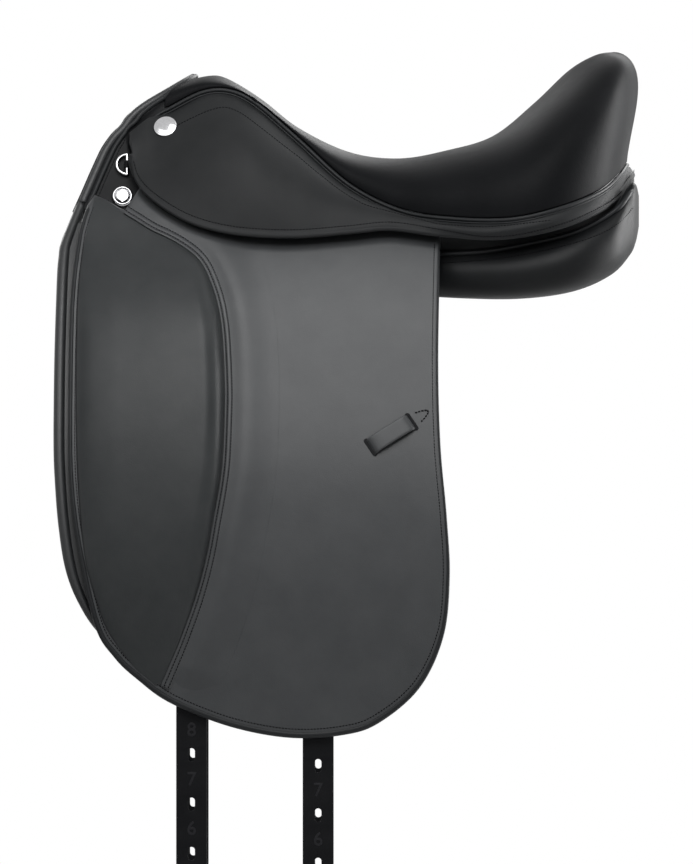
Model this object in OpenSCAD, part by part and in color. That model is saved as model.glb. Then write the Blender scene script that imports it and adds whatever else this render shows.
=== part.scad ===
// Dressage saddle in millimetres. +X points to the cantle, -X to the pommel, +Z up.
// The near side is -Y. The origin lies on the centre plane, level with the bearing line of the panels.
// The off side is modelled and the near side is its mirror image.

/* [Seat] */
// Height of the pommel over the bearing line
pommel_z = 215; // [195:1:230]
// Height of the lowest point of the seat over the bearing line
seat_z = 137; // [128:1:150]
// Height of the cantle over the bearing line
cantle_z = 240; // [220:1:255]
// Half the width of the seat at its widest
seat_half_w = 166; // [150:1:180]
// Thickness of the seat leather
seat_t = 3; // [2:0.5:4]
// Thickness of the seat foam
foam_t = 11; // [8:1:12]

/* [Barrel] */
// Radius that the flaps are blocked to
barrel_r = 640; // [600:5:700]
// Half the distance between the hanging flaps, at the sweat flap's inner face
barrel_half_w = 250; // [240:1:270]
// Height at which the flaps hang straight down
hang_z = -330; // [-350:1:-310]

/* [Flaps] */
// Thickness of the main flap
flap_t = 5; // [4:0.5:6]
// Thickness of the sweat flap
sweat_t = 4; // [3:0.5:5]
// Lowest point of the main flap
flap_low_z = -429; // [-440:1:-415]
// Height of the line that the flap folds on
fold_z = 52; // [48:1:54]
// Crown of the knee block over the flap
block_crown = 22; // [12:1:30]
// Width of the sewn welt behind the knee block
welt_w = 11; // [8:0.5:14]
// Height of the sewn welt over the flap
welt_t = 2.5; // [1.5:0.5:4]
// Thickness of the skirt
skirt_t = 5; // [4:0.5:6]

/* [Girth straps] */
// Width of a girth strap
billet_w = 30; // [26:0.5:34]
// Thickness of a girth strap
billet_t = 4; // [3:0.5:4.5]
// Distance from one buckle hole to the next
hole_pitch = 48; // [40:1:52]
// Buckle holes in each hanging strap
hole_count = 7; // [4:1:8]
// Width of a buckle hole
hole_w = 6; // [4:0.5:8]
// Length of a buckle hole
hole_l = 11; // [9:0.5:14]
// Length of strap beyond the last hole
billet_tip = 34; // [25:1:45]

/* [Fittings] */
// Radius of the stirrup bar
bar_r = 4.5; // [4:0.25:5]
// Free length of the stirrup bar
bar_l = 52; // [45:1:60]
// Wire radius of the breastplate dee
dee_wire_r = 1.4; // [1.2:0.1:2.2]
// Radius of the dee's bow, at the wire's centre
dee_r = 10; // [8:0.5:12]
// Radius of the pommel nail's head
nail_r = 11.5; // [9:0.5:13]
// Radius of the panel screw's cup washer
cup_r = 10.5; // [9:0.5:12]
// Width of the stirrup leather keeper
keeper_w = 17; // [14:0.5:20]
// Length of the stirrup leather keeper
keeper_l = 47; // [40:1:55]

/* [Hidden] */
// Clearance between soft pieces that lie on each other
gap = 0.4;
// Running clearance of a pin in its bore
run = 0.05;
steps = 6;
layer_x = 330;
layer_low = -480;
barrel_y = barrel_half_w - barrel_r;

// Offsets of the leather layers from the barrel
strap_loop_t = 1.8;
billet_d = sweat_t + gap;
flap_d = billet_d + billet_t + strap_loop_t + 2 * gap;
flap_out = flap_d + flap_t;

// Hermite curve through a table of [x, value] rows
function row_at(t, x, i = 0) = i >= len(t) - 2 || x < t[i + 1][0] ? i : row_at(t, x, i + 1);
function slope(t, i) =
    let (a = max(i - 1, 0), b = min(i + 1, len(t) - 1)) (t[b][1] - t[a][1]) / (t[b][0] - t[a][0]);
function curve(t, x) =
    let (i = row_at(t, x), w = t[i + 1][0] - t[i][0], u = (x - t[i][0]) / w)
    t[i][1] * (1 + 2 * u) * pow(1 - u, 2) + slope(t, i) * w * u * pow(1 - u, 2)
    + t[i + 1][1] * u * u * (3 - 2 * u) + slope(t, i + 1) * w * u * u * (u - 1);

// Smooth line through points of any dimension, n steps to a span
function at(p, i, round) = round ? p[(i + len(p)) % len(p)] : p[min(max(i, 0), len(p) - 1)];
function span(a, b, c, d, u) =
    0.5 * (2 * b + (c - a) * u + (2 * a - 5 * b + 4 * c - d) * u * u + (3 * b - 3 * c + d - a) * u * u * u);
function smooth(p, n = steps, round = false) = [
    for (i = [0 : len(p) - (round ? 1 : 2)], k = [0 : n - 1])
        span(at(p, i - 1, round), p[i], at(p, i + 1, round), at(p, i + 2, round), k / n),
    if (!round) p[len(p) - 1]
];

// Outer face of a leather layer: its distance from the centre plane at a height
function layer_y(z, d) = z < hang_z ? barrel_y + barrel_r + d
    : barrel_y + sqrt(pow(barrel_r + d, 2) - pow(z - hang_z, 2));

// Side of the body: the off side as modelled, the near side mirrored
module side(near) {
    if (near) mirror([0, 1, 0]) children();
    else children();
}

// Curved leather layer between two offsets from the barrel
layer_angles = [for (a = [48 : -3 : 0]) a];
function layer_face(d) = [for (a = layer_angles)
    [barrel_y + (barrel_r + d) * cos(a), hang_z + (barrel_r + d) * sin(a)]];
function reversed(p) = [for (i = [len(p) - 1 : -1 : 0]) p[i]];
module layer(d0, d1) {
    translate([-layer_x, 0, 0]) rotate([90, 0, 90]) linear_extrude(2 * layer_x)
        polygon(concat(
            layer_face(d1),
            [[barrel_half_w + d1, layer_low], [barrel_half_w + d0, layer_low]],
            reversed(layer_face(d0))
        ));
}

// Side outline cut straight through towards the centre plane
module outline(points) {
    translate([0, 2 * barrel_half_w, 0]) rotate([90, 0, 0]) linear_extrude(2 * barrel_half_w)
        polygon(points);
}
module band(x0, x1, z0, z1) {
    translate([x0, 0, z0]) cube([x1 - x0, 2 * barrel_half_w, z1 - z0]);
}

// Main flap outline, from the top of the front edge round the bottom to the top of the rear edge
flap_edge = smooth([
    [-256, fold_z + 38], [-262, fold_z + 20], [-266, fold_z], [-272, -3], [-274, -100], [-273, -178], [-265, -243],
    [-248, -320], [-229, -351], [-207, -372], [-175, -395], [-117, flap_low_z + 11], [-58, flap_low_z],
    [-5, flap_low_z + 3], [29, flap_low_z + 15], [68, -380], [91, -330], [97, -272], [94, -213], [88, -143],
    [86, -60], [88, fold_z]
], 4);
head_top = [[88, 66], [20, 72], [-40, 80], [-52, 78], [-132, 78], [-142, 94], [-194, 92],
    [-207, 80], [-223, 86], [-236, 94], [-249, 100]];

module flap(near) {
    color("#26282a") side(near) intersection() {
        layer(flap_d, flap_out);
        outline(flap_edge);
        band(-layer_x, layer_x, layer_low, fold_z - gap);
    }
}

module flap_head(near) {
    color("#1d1f21") side(near) intersection() {
        layer(flap_d, flap_out);
        outline(concat(flap_edge, head_top));
        band(-layer_x, layer_x, fold_z, 2 * pommel_z);
    }
}

// Sweat flap: its front edge shows ahead of the main flap, the rest lies inside the main flap
sweat_edge = smooth([
    [-276, 68], [-283, 47], [-286, -3], [-288, -100], [-287, -178], [-278, -258], [-263, -300], [-238, -334],
    [-185, -378], [-117, flap_low_z + 24], [-49, flap_low_z + 14], [0, flap_low_z + 18], [38, -390],
    [68, -340], [83, -286], [84, -227], [77, -139], [72, -42], [72, 40]
], 4);
sweat_top = [[72, 56], [-4, 63], [-185, 63], [-200, 74], [-268, 74]];
module sweat_flap(near) {
    color("#17181a") side(near) intersection() {
        layer(0, sweat_t);
        outline(concat(sweat_edge, sweat_top));
    }
}

// Girth straps
front_billet_x = -154;
rear_billet_x = -31;
front_hole_z = -445.5;
rear_hole_z = -456;
tail_z = flap_low_z - 4;
billet_y = barrel_half_w + billet_d + billet_t / 2;
billet_top_z = 58;

module billet_strap(x, near) {
    color("#141517") side(near) intersection() {
        layer(billet_d, billet_d + billet_t);
        band(x - billet_w / 2, x + billet_w / 2, tail_z + billet_t / 2 + gap, billet_top_z);
    }
}

module slot(x, z) {
    translate([x, 0, z]) rotate([-90, 0, 0]) {
        for (s = [-1, 1]) translate([0, s * (hole_l - hole_w) / 2, 0])
            cylinder(d = hole_w, h = 2 * barrel_half_w, $fn = 32);
        translate([-hole_w / 2, -(hole_l - hole_w) / 2, 0])
            cube([hole_w, hole_l - hole_w, 2 * barrel_half_w]);
    }
}

// Hanging part of a strap, hinged where it leaves the flap
module billet(x, hole_z, near) {
    tip_z = hole_z - (hole_count - 1) * hole_pitch - billet_tip;
    half = billet_w / 2;
    color("#141517") side(near) {
        difference() {
            translate([0, billet_y + billet_t / 2, 0]) rotate([90, 0, 0]) linear_extrude(billet_t)
                polygon(concat(
                    [[x + half, tail_z], [x - half, tail_z]],
                    [for (a = [180 : 20 : 360]) [x + half * cos(a), tip_z + half + half * sin(a)]]
                ));
            for (i = [0 : hole_count - 1]) slot(x, hole_z - i * hole_pitch);
        }
        translate([x - half, billet_y, tail_z]) rotate([0, 90, 0])
            cylinder(d = billet_t, h = billet_w, $fn = 32);
    }
}

// Closed solid between two grids of points, both with the same rows and columns
function flat(g) = [for (r = g, p = r) p];
module slab(top, low) {
    n = len(top);
    m = len(top[0]);
    h = [floor(n / 2), floor(m / 2)];
    inside_out = normal(top, h[0], h[1]) * (top[h[0]][h[1]] - low[h[0]][h[1]]) < 0;
    faces = [for (i = [0 : n - 2], j = [0 : m - 2]) let (a = i * m + j, b = a + m)
        each [[a, a + 1, b], [b, a + 1, b + 1]]];
    rim = concat(
        [for (j = [0 : m - 1]) j], [for (i = [1 : n - 1]) i * m + m - 1],
        [for (j = [m - 2 : -1 : 0]) (n - 1) * m + j], [for (i = [n - 2 : -1 : 1]) i * m]
    );
    k = len(rim);
    walls = [for (i = [0 : k - 1]) let (a = rim[i], b = rim[(i + 1) % k])
        each [[a, a + n * m, b], [b, a + n * m, b + n * m]]];
    shell = concat(faces, [for (f = faces) [f[2] + n * m, f[1] + n * m, f[0] + n * m]], walls);
    polyhedron(
        concat(flat(top), flat(low)),
        inside_out ? [for (f = shell) [f[2], f[1], f[0]]] : shell
    );
}

// Grid moved along its own normals
function near_row(i, n) = [max(i - 1, 0), min(i + 1, n)];
function normal(g, i, j) =
    let (a = near_row(i, len(g) - 1), b = near_row(j, len(g[0]) - 1),
        v = cross(g[a[1]][j] - g[a[0]][j], g[i][b[1]] - g[i][b[0]])) v / max(norm(v), 0.001);
function moved(g, d) = [for (i = [0 : len(g) - 1]) [for (j = [0 : len(g[0]) - 1]) g[i][j] + d * normal(g, i, j)]];

// Closed solid through rings of points, wound either way
function mean(r) = [for (k = [0 : 2]) [for (p = r) p[k]] * [for (p = r) 1 / len(r)]];
function turn(r, k = 0) = k == len(r) ? [0, 0, 0] : cross(r[k], r[(k + 1) % len(r)]) + turn(r, k + 1);
module loft(rings) {
    n = len(rings);
    m = len(rings[0]);
    h = floor(n / 2);
    inside_out = turn(rings[h]) * (mean(rings[h]) - mean(rings[h - 1])) > 0;
    faces = concat(
        [for (i = [0 : n - 2], j = [0 : m - 1]) let (a = i * m + j, b = i * m + (j + 1) % m)
            each [[a, b, a + m], [a + m, b, b + m]]],
        [for (j = [0 : m - 1]) [(j + 1) % m, j, n * m]],
        [for (j = [0 : m - 1]) [(n - 1) * m + j, (n - 1) * m + (j + 1) % m, n * m + 1]]
    );
    polyhedron(
        concat(flat(rings), [mean(rings[0]), mean(rings[n - 1])]),
        inside_out ? [for (f = faces) [f[2], f[1], f[0]]] : faces
    );
}

// Seat: centre line over the pommel, the dip and the cantle, and the sewn edge on the off side
seat_line = [
    [-144, 0, pommel_z - 1], [-130, 0, pommel_z + 2], [-112, 0, pommel_z - 5], [-84, 0, pommel_z - 22.5],
    [-49, 0, seat_z + 30], [0, 0, seat_z + 6], [48, 0, seat_z + 1], [95, 0, seat_z + 12], [140, 0, seat_z + 30],
    [180, 0, cantle_z - 41], [214, 0, cantle_z - 13], [240, 0, cantle_z - 2], [258, 0, cantle_z]
];
seat_edge = [
    [-180, 66, pommel_z - 29], [-146, 66, pommel_z - 12], [-118, 68, pommel_z - 10], [-90, 72, pommel_z - 23],
    [-49, 80, seat_z + 20], [0, 98, seat_z - 24], [49, 121, seat_z - 49], [97, 145, seat_z - 57],
    [156, seat_half_w - 1, seat_z - 58], [205, seat_half_w - 6, seat_z - 47], [244, 128, seat_z - 31],
    [263, 78, seat_z - 15], [271, 6, seat_z - 4]
];
seat_dish = [0, 0, 0, 0, 0, 0, 2, 5, 9, 9, 5, 1, 0];
seat_back = [0, 0, 0, 0, 0, 0, 0, 0, 2, 5, 9, 12, 14];
seat_n = 3;
line_fine = smooth(seat_line, seat_n);
edge_fine = smooth(seat_edge, seat_n);
dish_fine = smooth([for (d = seat_dish) [d]], seat_n);
back_fine = smooth([for (d = seat_back) [d]], seat_n);

// Point of the seat: i counts along it, a runs from 0 at the centre to 90 at the sewn edge
function seat_point(i, a) =
    let (c = line_fine[i], e = edge_fine[i], s = sin(abs(a)), k = cos(a))
    [
        c[0] + (e[0] - c[0]) * s + back_fine[i][0] * sin(2 * abs(a)),
        sign(a) * e[1] * s,
        e[2] + (c[2] - e[2]) * pow(max(k, 0), 0.75) - dish_fine[i][0] * pow(k, 6)
    ];
function seat_grid(i0, i1, angles) = [for (i = [i0 : i1]) [for (a = angles) seat_point(i, a)]];
seat_last = len(line_fine) - 1;
seat_angles = [-90, -80, -68, -55, -42, -28, -14, 0, 14, 28, 42, 55, 68, 80, 90];

foam_d = seat_t + gap;
foam_play = 1.4;
tree_t = 9;
spring_t = 3;

module seat_cover() {
    g = seat_grid(0, seat_last, seat_angles);
    color("#1c1d1f") slab(g, moved(g, -seat_t));
}

module seat_foam() {
    g = [for (i = [1 : 2 : seat_last - 1]) [for (a = [-72, -52, -30, 0, 30, 52, 72]) seat_point(i, a)]];
    color("#c9b98a") slab(moved(g, -foam_d - foam_play), moved(g, -foam_d - foam_t));
}

// Arch over the withers: half profile in Y and Z, from the centre down the off side
arch_half = [[0, 192], [30, 189], [52, 178], [66, 155], [80, 125], [90, 98], [99, 72]];
function arch_normal(p, i) =
    let (a = p[max(i - 1, 0)], b = p[min(i + 1, len(p) - 1)], v = [a[1] - b[1], b[0] - a[0]])
    (i == 0 ? [0, 1] : [v[0], v[1]] / norm(v));
function arch_out(p, d) = let (h = smooth(p, 3), o = [for (i = [0 : len(h) - 1]) h[i] + d * arch_normal(h, i)])
    concat([for (i = [len(o) - 1 : -1 : 1]) [-o[i][0], o[i][1]]], o);
// Strip that follows an arch from side to side, between two offsets and two tables of X against height
module arch_strip(p, d0, d1, front, rear) {
    low = arch_out(p, d0);
    top = arch_out(p, d1);
    loft([for (i = [0 : len(top) - 1]) let (z = top[i][1], x0 = curve(front, z), x1 = curve(rear, z)) [
        [x0, top[i][0], top[i][1]], [x1, top[i][0], top[i][1]],
        [x1, low[i][0], low[i][1]], [x0, low[i][0], low[i][1]]
    ]]);
}

tree_front = [[60, -232], [104, -222], [140, -205], [170, -182], [192, -160]];
tree_rear = [[60, -60], [100, -48], [140, -60], [170, -100], [192, -118]];

// Side rail stations: X, then the centre in Y and Z, then the lean of the section
rail_line = [
    [-112, 57, 160, 58], [-60, 61, 133, 46], [0, 73, 108, 33], [60, 93, 95, 22], [120, 113, 97, 14],
    [172, 121, 104, 8]
];
rail_half_w = 18;
function rail_ring(r, d0, d1, half, mid = 0) = [
    for (c = [[mid - half, d0], [mid + half, d0], [mid + half, d1], [mid - half, d1]])
    [r[0], r[1] + c[0] * cos(r[3]) + c[1] * sin(r[3]), r[2] - c[0] * sin(r[3]) + c[1] * cos(r[3])]];
rail_fine = smooth(rail_line, 3);
module rail(d0, d1, half, first = 0) {
    loft([for (i = [first : len(rail_fine) - 1]) rail_ring(rail_fine[i], d0, d1, half)]);
}

// Cantle board: a curved plate that stands on the ends of the rails
board_x = 152;
board_r = [94, 126];
function board_low(a) = 84 + 30 * pow(cos(a), 2);
function board_top(a) = 112 + (cantle_z - 152) * pow(cos(a), 2);
module cantle_board() {
    loft([for (a = [-80 : 10 : 80]) [for (c = [[0, 0], [1, 0], [1, 1], [0, 1]])
        [
            board_x + (board_r[0] - c[0] * tree_t) * cos(a),
            (board_r[1] - c[0] * tree_t) * sin(a),
            c[1] == 0 ? board_low(a) : board_top(a)
        ]]]);
}

module tree_frame() {
    color("#3a3f45") {
        arch_strip(arch_half, -tree_t, 0, tree_front, tree_rear);
        for (near = [false, true]) side(near) rail(-tree_t / 2, tree_t / 2, rail_half_w);
        cantle_board();
    }
}

gullet_front = [[40, -215], [104, -208], [140, -194], [170, -174], [192, -154]];
gullet_rear = [[40, -160], [104, -150], [140, -140], [170, -136], [192, -126]];
plate_t = 3;
module gullet_plate() {
    color("#8b8f94") arch_strip(arch_half, -tree_t - gap - plate_t, -tree_t - gap, gullet_front, gullet_rear);
}

// Spring steel strips under the outer half of the rails
spring_at = 9;
module tree_springs() {
    top = -tree_t / 2 - 2.5 * gap;
    color("#6f757b") for (near = [false, true]) side(near) loft([for (i = [3 : len(rail_fine) - 2])
        rail_ring(rail_fine[i], top - spring_t, top, 6, spring_at)]);
}

// Webbing stretched across the rails under the foam
web_t = 2;
web_x = [48, 90, 132];
web_half = 18;
function rail_inner(x) = [for (k = [1 : 3]) curve([for (r = rail_line) [r[0], r[k]]], x)];
module seat_webbing() {
    color("#b9b2a2") for (x = web_x) loft([for (s = [-1, 1]) [
        for (c = [[-1, 0], [1, 0], [1, 1], [-1, 1]])
            let (r = rail_inner(x + c[0] * web_half))
            [x + c[0] * web_half, s * (r[0] - rail_half_w * cos(r[2]) + 4),
                r[1] + rail_half_w * sin(r[2]) + tree_t / 2 * cos(r[2]) + gap + c[1] * web_t]
    ]]);
}

function unit(v) = v / max(norm(v), 0.001);
// Point below an edge, square to the way the edge runs
function below(line, i, d) =
    let (t = unit(line[min(i + 1, len(line) - 1)] - line[max(i - 1, 0)])) line[i] + d * unit([0, 0, -1] + t[2] * t);

// Welt sewn into the edge of the seat
welt_r = 2;
welt_half = [for (i = [0 : seat_last]) below(edge_fine, i, welt_r + 7 * gap)];
welt_path = concat([for (p = welt_half) [p[0], -p[1], p[2]]], reversed(welt_half));
// Rings of a tube that follows a path
function tube(path, r, sides) = [for (i = [0 : len(path) - 1])
    let (
        t = unit(path[min(i + 1, len(path) - 1)] - path[max(i - 1, 0)]),
        u = unit(cross([0, 0, 1], t)),
        v = cross(t, u)
    ) [for (k = [0 : sides - 1]) path[i] + r * (cos(360 * k / sides) * u + sin(360 * k / sides) * v)]];
module seat_welt() {
    color("#101112") loft(tube(welt_path, welt_r, 6));
}

// Leather facing round the front of the pommel
facing_half = [[0, 216], [36, 211], [57, 200], [69, 183], [77, 160], [88, 125], [98, 95], [102, 84]];
facing_t = 4;
facing_front = [[60, -279], [85, -268], [104, -259], [138, -244], [161, -229], [178, -215], [189, -202], [201, -186.5],
    [216, -160]];
facing_rear = [[60, -205], [95, -195], [120, -202], [136, -212], [161, -219], [175, -204], [187, -188],
    [201, -181.4], [216, -154.4]];
module pommel_facing() {
    color("#202224") arch_strip(facing_half, -facing_t, 0, facing_front, facing_rear);
}

// Skirt under the seat: upper edge along the seat's welt, lower edge on the flap and round the cantle
skirt_drop = 2 * welt_r + 8.5 * gap;
skirt_top = concat(
    [[-214, 83, pommel_z - 54], [-197, 76, pommel_z - 41]],
    [for (i = [0 : len(seat_edge) - 1]) below(seat_edge, i, skirt_drop) + [0, 1, 0]]
);
skirt_clear = 6;
skirt_d = flap_out + gap + skirt_t + skirt_clear;
function on_flap(x, z) = [x, layer_y(z, skirt_d), z];
skirt_low = [
    [-212, 101, 136], on_flap(-208, 115), on_flap(-192, 97), on_flap(-161, 77), on_flap(-128, 66),
    on_flap(-92, 61), on_flap(-50, 60), on_flap(0, 64), on_flap(40, 67), on_flap(88, 60),
    [146, 164, 56], [205, 162, 67], [250, 131, 86], [273, 81, 103], [281, 0, 110]
];
skirt_bulge = [2, 3, 5, 9, 14, 16, 14, 9, 6, 4, 3, 2, 1, 0, 0];
skirt_n = 2;
skirt_a = smooth(skirt_top, skirt_n);
skirt_b = smooth(skirt_low, skirt_n);
skirt_c = smooth([for (d = skirt_bulge) [d]], skirt_n);
function skirt_point(i, v) =
    let (a = skirt_a[i], b = skirt_b[i], d = b - a, out = unit([0, -d[2], max(d[1], 0)]))
    a + v * d + skirt_c[i][0] * sin(180 * v) * out;
skirt_v = [0, 0.2, 0.4, 0.6, 0.8, 1];
skirt_last = len(skirt_a) - 1;
module skirt(near) {
    g = [for (i = [0 : skirt_last]) [for (v = skirt_v)
        let (p = skirt_point(i, v)) [p[0], max(p[1], i == skirt_last ? gap / 2 : 0), p[2]]]];
    inner = [for (i = [0 : skirt_last]) [for (j = [0 : len(skirt_v) - 1])
        let (n = normal(g, i, j), s = n[1] < 0 || (i == skirt_last && n[0] < 0) ? -1 : 1, q = g[i][j] - skirt_t * s * n)
        [q[0], i == skirt_last ? gap / 2 : q[1], q[2]]]];
    color("#1b1c1e") side(near) slab(g, inner);
}

// Panel under each side: X, centre in Y and Z, half width, half depth and lean of a section
panel_line = [
    [-226, 64, 90, 10, 5, 58], [-214, 61, 88, 24, 10, 55], [-180, 56, 78, 37, 13, 50], [-120, 62, 60, 41, 17, 42],
    [-40, 70, 42, 43, 20, 30], [40, 75, 33, 44, 23, 22], [110, 94, 30, 50, 26, 17], [170, 104, 31, 55, 28, 14],
    [220, 106, 40, 53, 31, 12], [255, 98, 55, 43, 32, 10], [274, 88, 68, 27, 26, 8], [282, 82, 77, 9, 12, 8]
];
panel_fine = smooth(panel_line, 2);
panel_sides = 14;
// Rounded section: a full edge with a flattened top and bottom
function panel_point(r, a) =
    let (
        u = r[3] * sign(cos(a)) * pow(abs(cos(a)), 0.8),
        w = r[4] * sign(sin(a)) * pow(abs(sin(a)), 0.8)
    ) [r[0], r[1] + u * cos(r[5]) + w * sin(r[5]), r[2] - u * sin(r[5]) + w * cos(r[5])];
module panel(near) {
    color("#222426") side(near) loft([for (r = panel_fine)
        [for (k = [0 : panel_sides - 1]) panel_point(r, 360 * k / panel_sides)]]);
}

// Gusset that joins the panel to the tree
gusset_at = -8;
gusset_half = 1.5;
function panel_row(x, k) = curve([for (r = panel_line) [r[0], r[k]]], x);
function panel_rise(p, u) = p[4] * pow(max(1 - pow(min(abs(u) / p[3], 1), 2.5), 0), 0.4);
function panel_across(p, y, u, tries) = tries == 0 ? u
    : panel_across(p, y, (y - p[1] - panel_rise(p, u) * sin(p[5])) / cos(p[5]), tries - 1);
function panel_top(p, y) =
    let (u = panel_across(p, y, 0, 5)) p[2] - u * sin(p[5]) + panel_rise(p, u) * cos(p[5]);
function gusset_ring(r) =
    let (
        x = r[0], lean = r[3], under = tree_t / 2 + 2 * gap,
        y = r[1] + gusset_at * cos(lean) - under * sin(lean),
        z = r[2] - gusset_at * sin(lean) - under * cos(lean),
        tilt = gusset_half * tan(lean),
        p = [for (k = [0 : 5]) panel_row(x, k)],
        foot = panel_top(p, y - gusset_half) + gap
    ) [
        [x, y - gusset_half, foot], [x, y + gusset_half, foot],
        [x, y + gusset_half, z - tilt], [x, y - gusset_half, z + tilt]
    ];
module panel_gusset(near) {
    color("#17181a") side(near) loft([for (i = [4 : len(rail_fine) - 2]) gusset_ring(rail_fine[i])]);
}

// Knee block: a crowned pad on the flap, from its front edge to the sewn welt
block_front = [[-364, -188], [-326, -208], [-256, -238], [-178, -255], [-100, -258], [-3, -256], [44, -250]];
welt_line = [[-382, -186], [-341, -167], [-289, -147], [-223, -134], [-167, -125], [-130, -124], [-87, -123],
    [-47, -124], [-9, -128], [26, -140], [48, -160]];
block_rows = [44, 34, 18, -3, -35, -70, -105, -140, -178, -215, -256, -292, -326, -348, -364];
block_ease = [[-364, 0.1], [-340, 0.4], [-280, 0.75], [-200, 1], [-60, 1], [-10, 0.9], [44, 0.1]];
block_cols = [0, 0.04, 0.14, 0.3, 0.48, 0.66, 0.82, 0.94, 1];
function block_height(z, u) = block_crown * curve(block_ease, z) * pow(max(sin(180 * pow(u, 0.85)), 0), 0.6);
function block_point(z, u, h) =
    let (x0 = curve(block_front, z), x1 = curve(welt_line, z) - 2)
    [x0 + u * max(x1 - x0, 1), layer_y(z, flap_out + gap + h), z];
module knee_block(near) {
    color("#2b2d30") side(near) slab(
        [for (z = block_rows) [for (u = block_cols) block_point(z, u, 1.5 + block_height(z, u))]],
        [for (z = block_rows) [for (u = block_cols) block_point(z, u, 0)]]
    );
}

// Sewn welt behind the knee block
module flap_welt(near) {
    rows = [for (z = [48 : -10 : -382]) z];
    color("#232527") side(near) slab(
        [for (z = rows) [for (c = [[0, 0.5], [0.2, 1], [0.8, 1], [1, 0.5]])
            [curve(welt_line, z) + c[0] * welt_w, layer_y(z, flap_out + gap + c[1] * welt_t), z]]],
        [for (z = rows) [for (c = [0, 0.2, 0.8, 1])
            [curve(welt_line, z) + c * welt_w, layer_y(z, flap_out + gap), z]]]
    );
}

// Place on a leather layer: Y along the outward normal, Z up the slope
module on_layer(x, z, d) {
    translate([x, layer_y(z, d), z]) rotate([asin((z - hang_z) / (barrel_r + d)), 0, 0]) children();
}

// Keeper for the stirrup leather: a stitched bridge with a pointed tab
keeper_x = 40;
keeper_z = -134;
keeper_turn = 33;
keeper_clear = 8;
keeper_t = 2.5;
keeper_foot = 5.5;
tab_l = 16;
tab_t = 1.6;
module leather_keeper(near) {
    h = keeper_l / 2;
    up = keeper_clear + keeper_t;
    color("#1a1b1d") side(near) on_layer(keeper_x, keeper_z, flap_out + gap) rotate([0, -keeper_turn, 0]) {
        translate([0, 0, -keeper_w / 2]) linear_extrude(keeper_w) polygon([
            [-h, 0], [-h, 4], [-h + 4, up - 1], [-h + 9, up], [h - 9, up], [h - 4, up - 1], [h, 4], [h, 0],
            [h - keeper_foot, 0], [h - keeper_foot, 3], [h - keeper_foot - 4, keeper_clear],
            [keeper_foot + 4 - h, keeper_clear], [keeper_foot - h, 3], [keeper_foot - h, 0]
        ]);
        translate([0, tab_t, 0]) rotate([90, 0, 0]) linear_extrude(tab_t) polygon([
            [h - 1, -keeper_w / 2], [h + tab_l - 7, -keeper_w / 2], [h + tab_l, 0], [h + tab_l - 7, keeper_w / 2],
            [h - 1, keeper_w / 2]
        ]);
    }
}

// Loop on the sweat flap that the rear girth strap runs through
loop_z = -150;
loop_h = 20;
loop_foot = 8;
module billet_keeper(near) {
    x = rear_billet_x;
    half = billet_w / 2 + gap;
    top = billet_d + billet_t + gap;
    color("#141517") side(near) difference() {
        intersection() {
            layer(billet_d, top + strap_loop_t);
            band(x - half - loop_foot, x + half + loop_foot, loop_z - loop_h / 2, loop_z + loop_h / 2);
        }
        intersection() {
            layer(0, top);
            band(x - half, x + half, loop_z - loop_h, loop_z + loop_h);
        }
    }
}

// Web that carries both girth straps from the tree
web_margin = 8;
arch_foot = arch_half[5];
module girth_web(near) {
    z0 = billet_top_z + gap;
    y0 = layer_y(z0, billet_d);
    x0 = front_billet_x - billet_w / 2 - web_margin;
    x1 = rear_billet_x + billet_w / 2 + web_margin;
    color("#2a2722") side(near) translate([x0, 0, 0]) rotate([90, 0, 90]) linear_extrude(x1 - x0) polygon([
        [y0, z0], [y0 + billet_t, z0], [arch_foot[0] + 2 * gap + billet_t, arch_foot[1] + 1],
        [arch_foot[0] + 2 * gap, arch_foot[1]]
    ]);
}

// Stirrup bar on the outer face of the tree's arch: X along the bar, Y outwards, Z up the slope
bar_x = -132;
bar_seat = [84.6, 114];
bar_lean = 20;
bar_off = 16;
elbow_r = bar_r + 0.8;
elbow_l = elbow_r + gap;
bar_plate_t = 4;
bar_plate_h = 20;
rivet_r = 3;
rivet_x = [14, 30, 46];
catch_r = 1.2;
catch_w = 3;
catch_l = 14;
pin_x = bar_l - bar_r;
module at_bar(near) {
    side(near) translate([bar_x, bar_seat[0], bar_seat[1]]) rotate([bar_lean, 0, 0]) children();
}
module along_y(h, r) {
    rotate([-90, 0, 0]) cylinder(r = r, h = h, $fn = 48);
}
module stirrup_bar(near) {
    color("#b9bdc1") at_bar(near) difference() {
        union() {
            translate([-8, 0, -bar_plate_h / 2]) cube([bar_l + 8, bar_plate_t, bar_plate_h]);
            along_y(bar_off, elbow_r);
            translate([0, bar_off, 0]) sphere(r = elbow_r, $fn = 48);
            translate([0, bar_off, 0]) rotate([0, 90, 0]) cylinder(r = elbow_r, h = elbow_l, $fn = 48);
            translate([0, bar_off, 0]) rotate([0, 90, 0]) cylinder(r = bar_r, h = bar_l, $fn = 48);
        }
        for (x = rivet_x) translate([x, -1, 0]) along_y(bar_plate_t + 2, rivet_r + run);
        translate([pin_x - bar_r, bar_off - catch_w / 2, -2 * bar_r]) cube([4 * bar_r, catch_w, 4 * bar_r]);
        translate([pin_x, bar_off - bar_r - 1, 0]) along_y(2 * bar_r + 2, catch_r + run);
    }
}

module bar_rivets() {
    head_h = 2;
    color("#a8753c") for (near = [false, true]) at_bar(near) for (x = rivet_x) translate([x, 0, 0]) {
        along_y(bar_plate_t + gap, rivet_r);
        translate([0, bar_plate_t, 0]) along_y(head_h, 1.6 * rivet_r);
    }
}

module catch_pins() {
    color("#8f9499") for (near = [false, true]) at_bar(near)
        translate([pin_x, bar_off - bar_r + 0.8, 0]) along_y(2 * bar_r - 1.6, catch_r);
}

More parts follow.
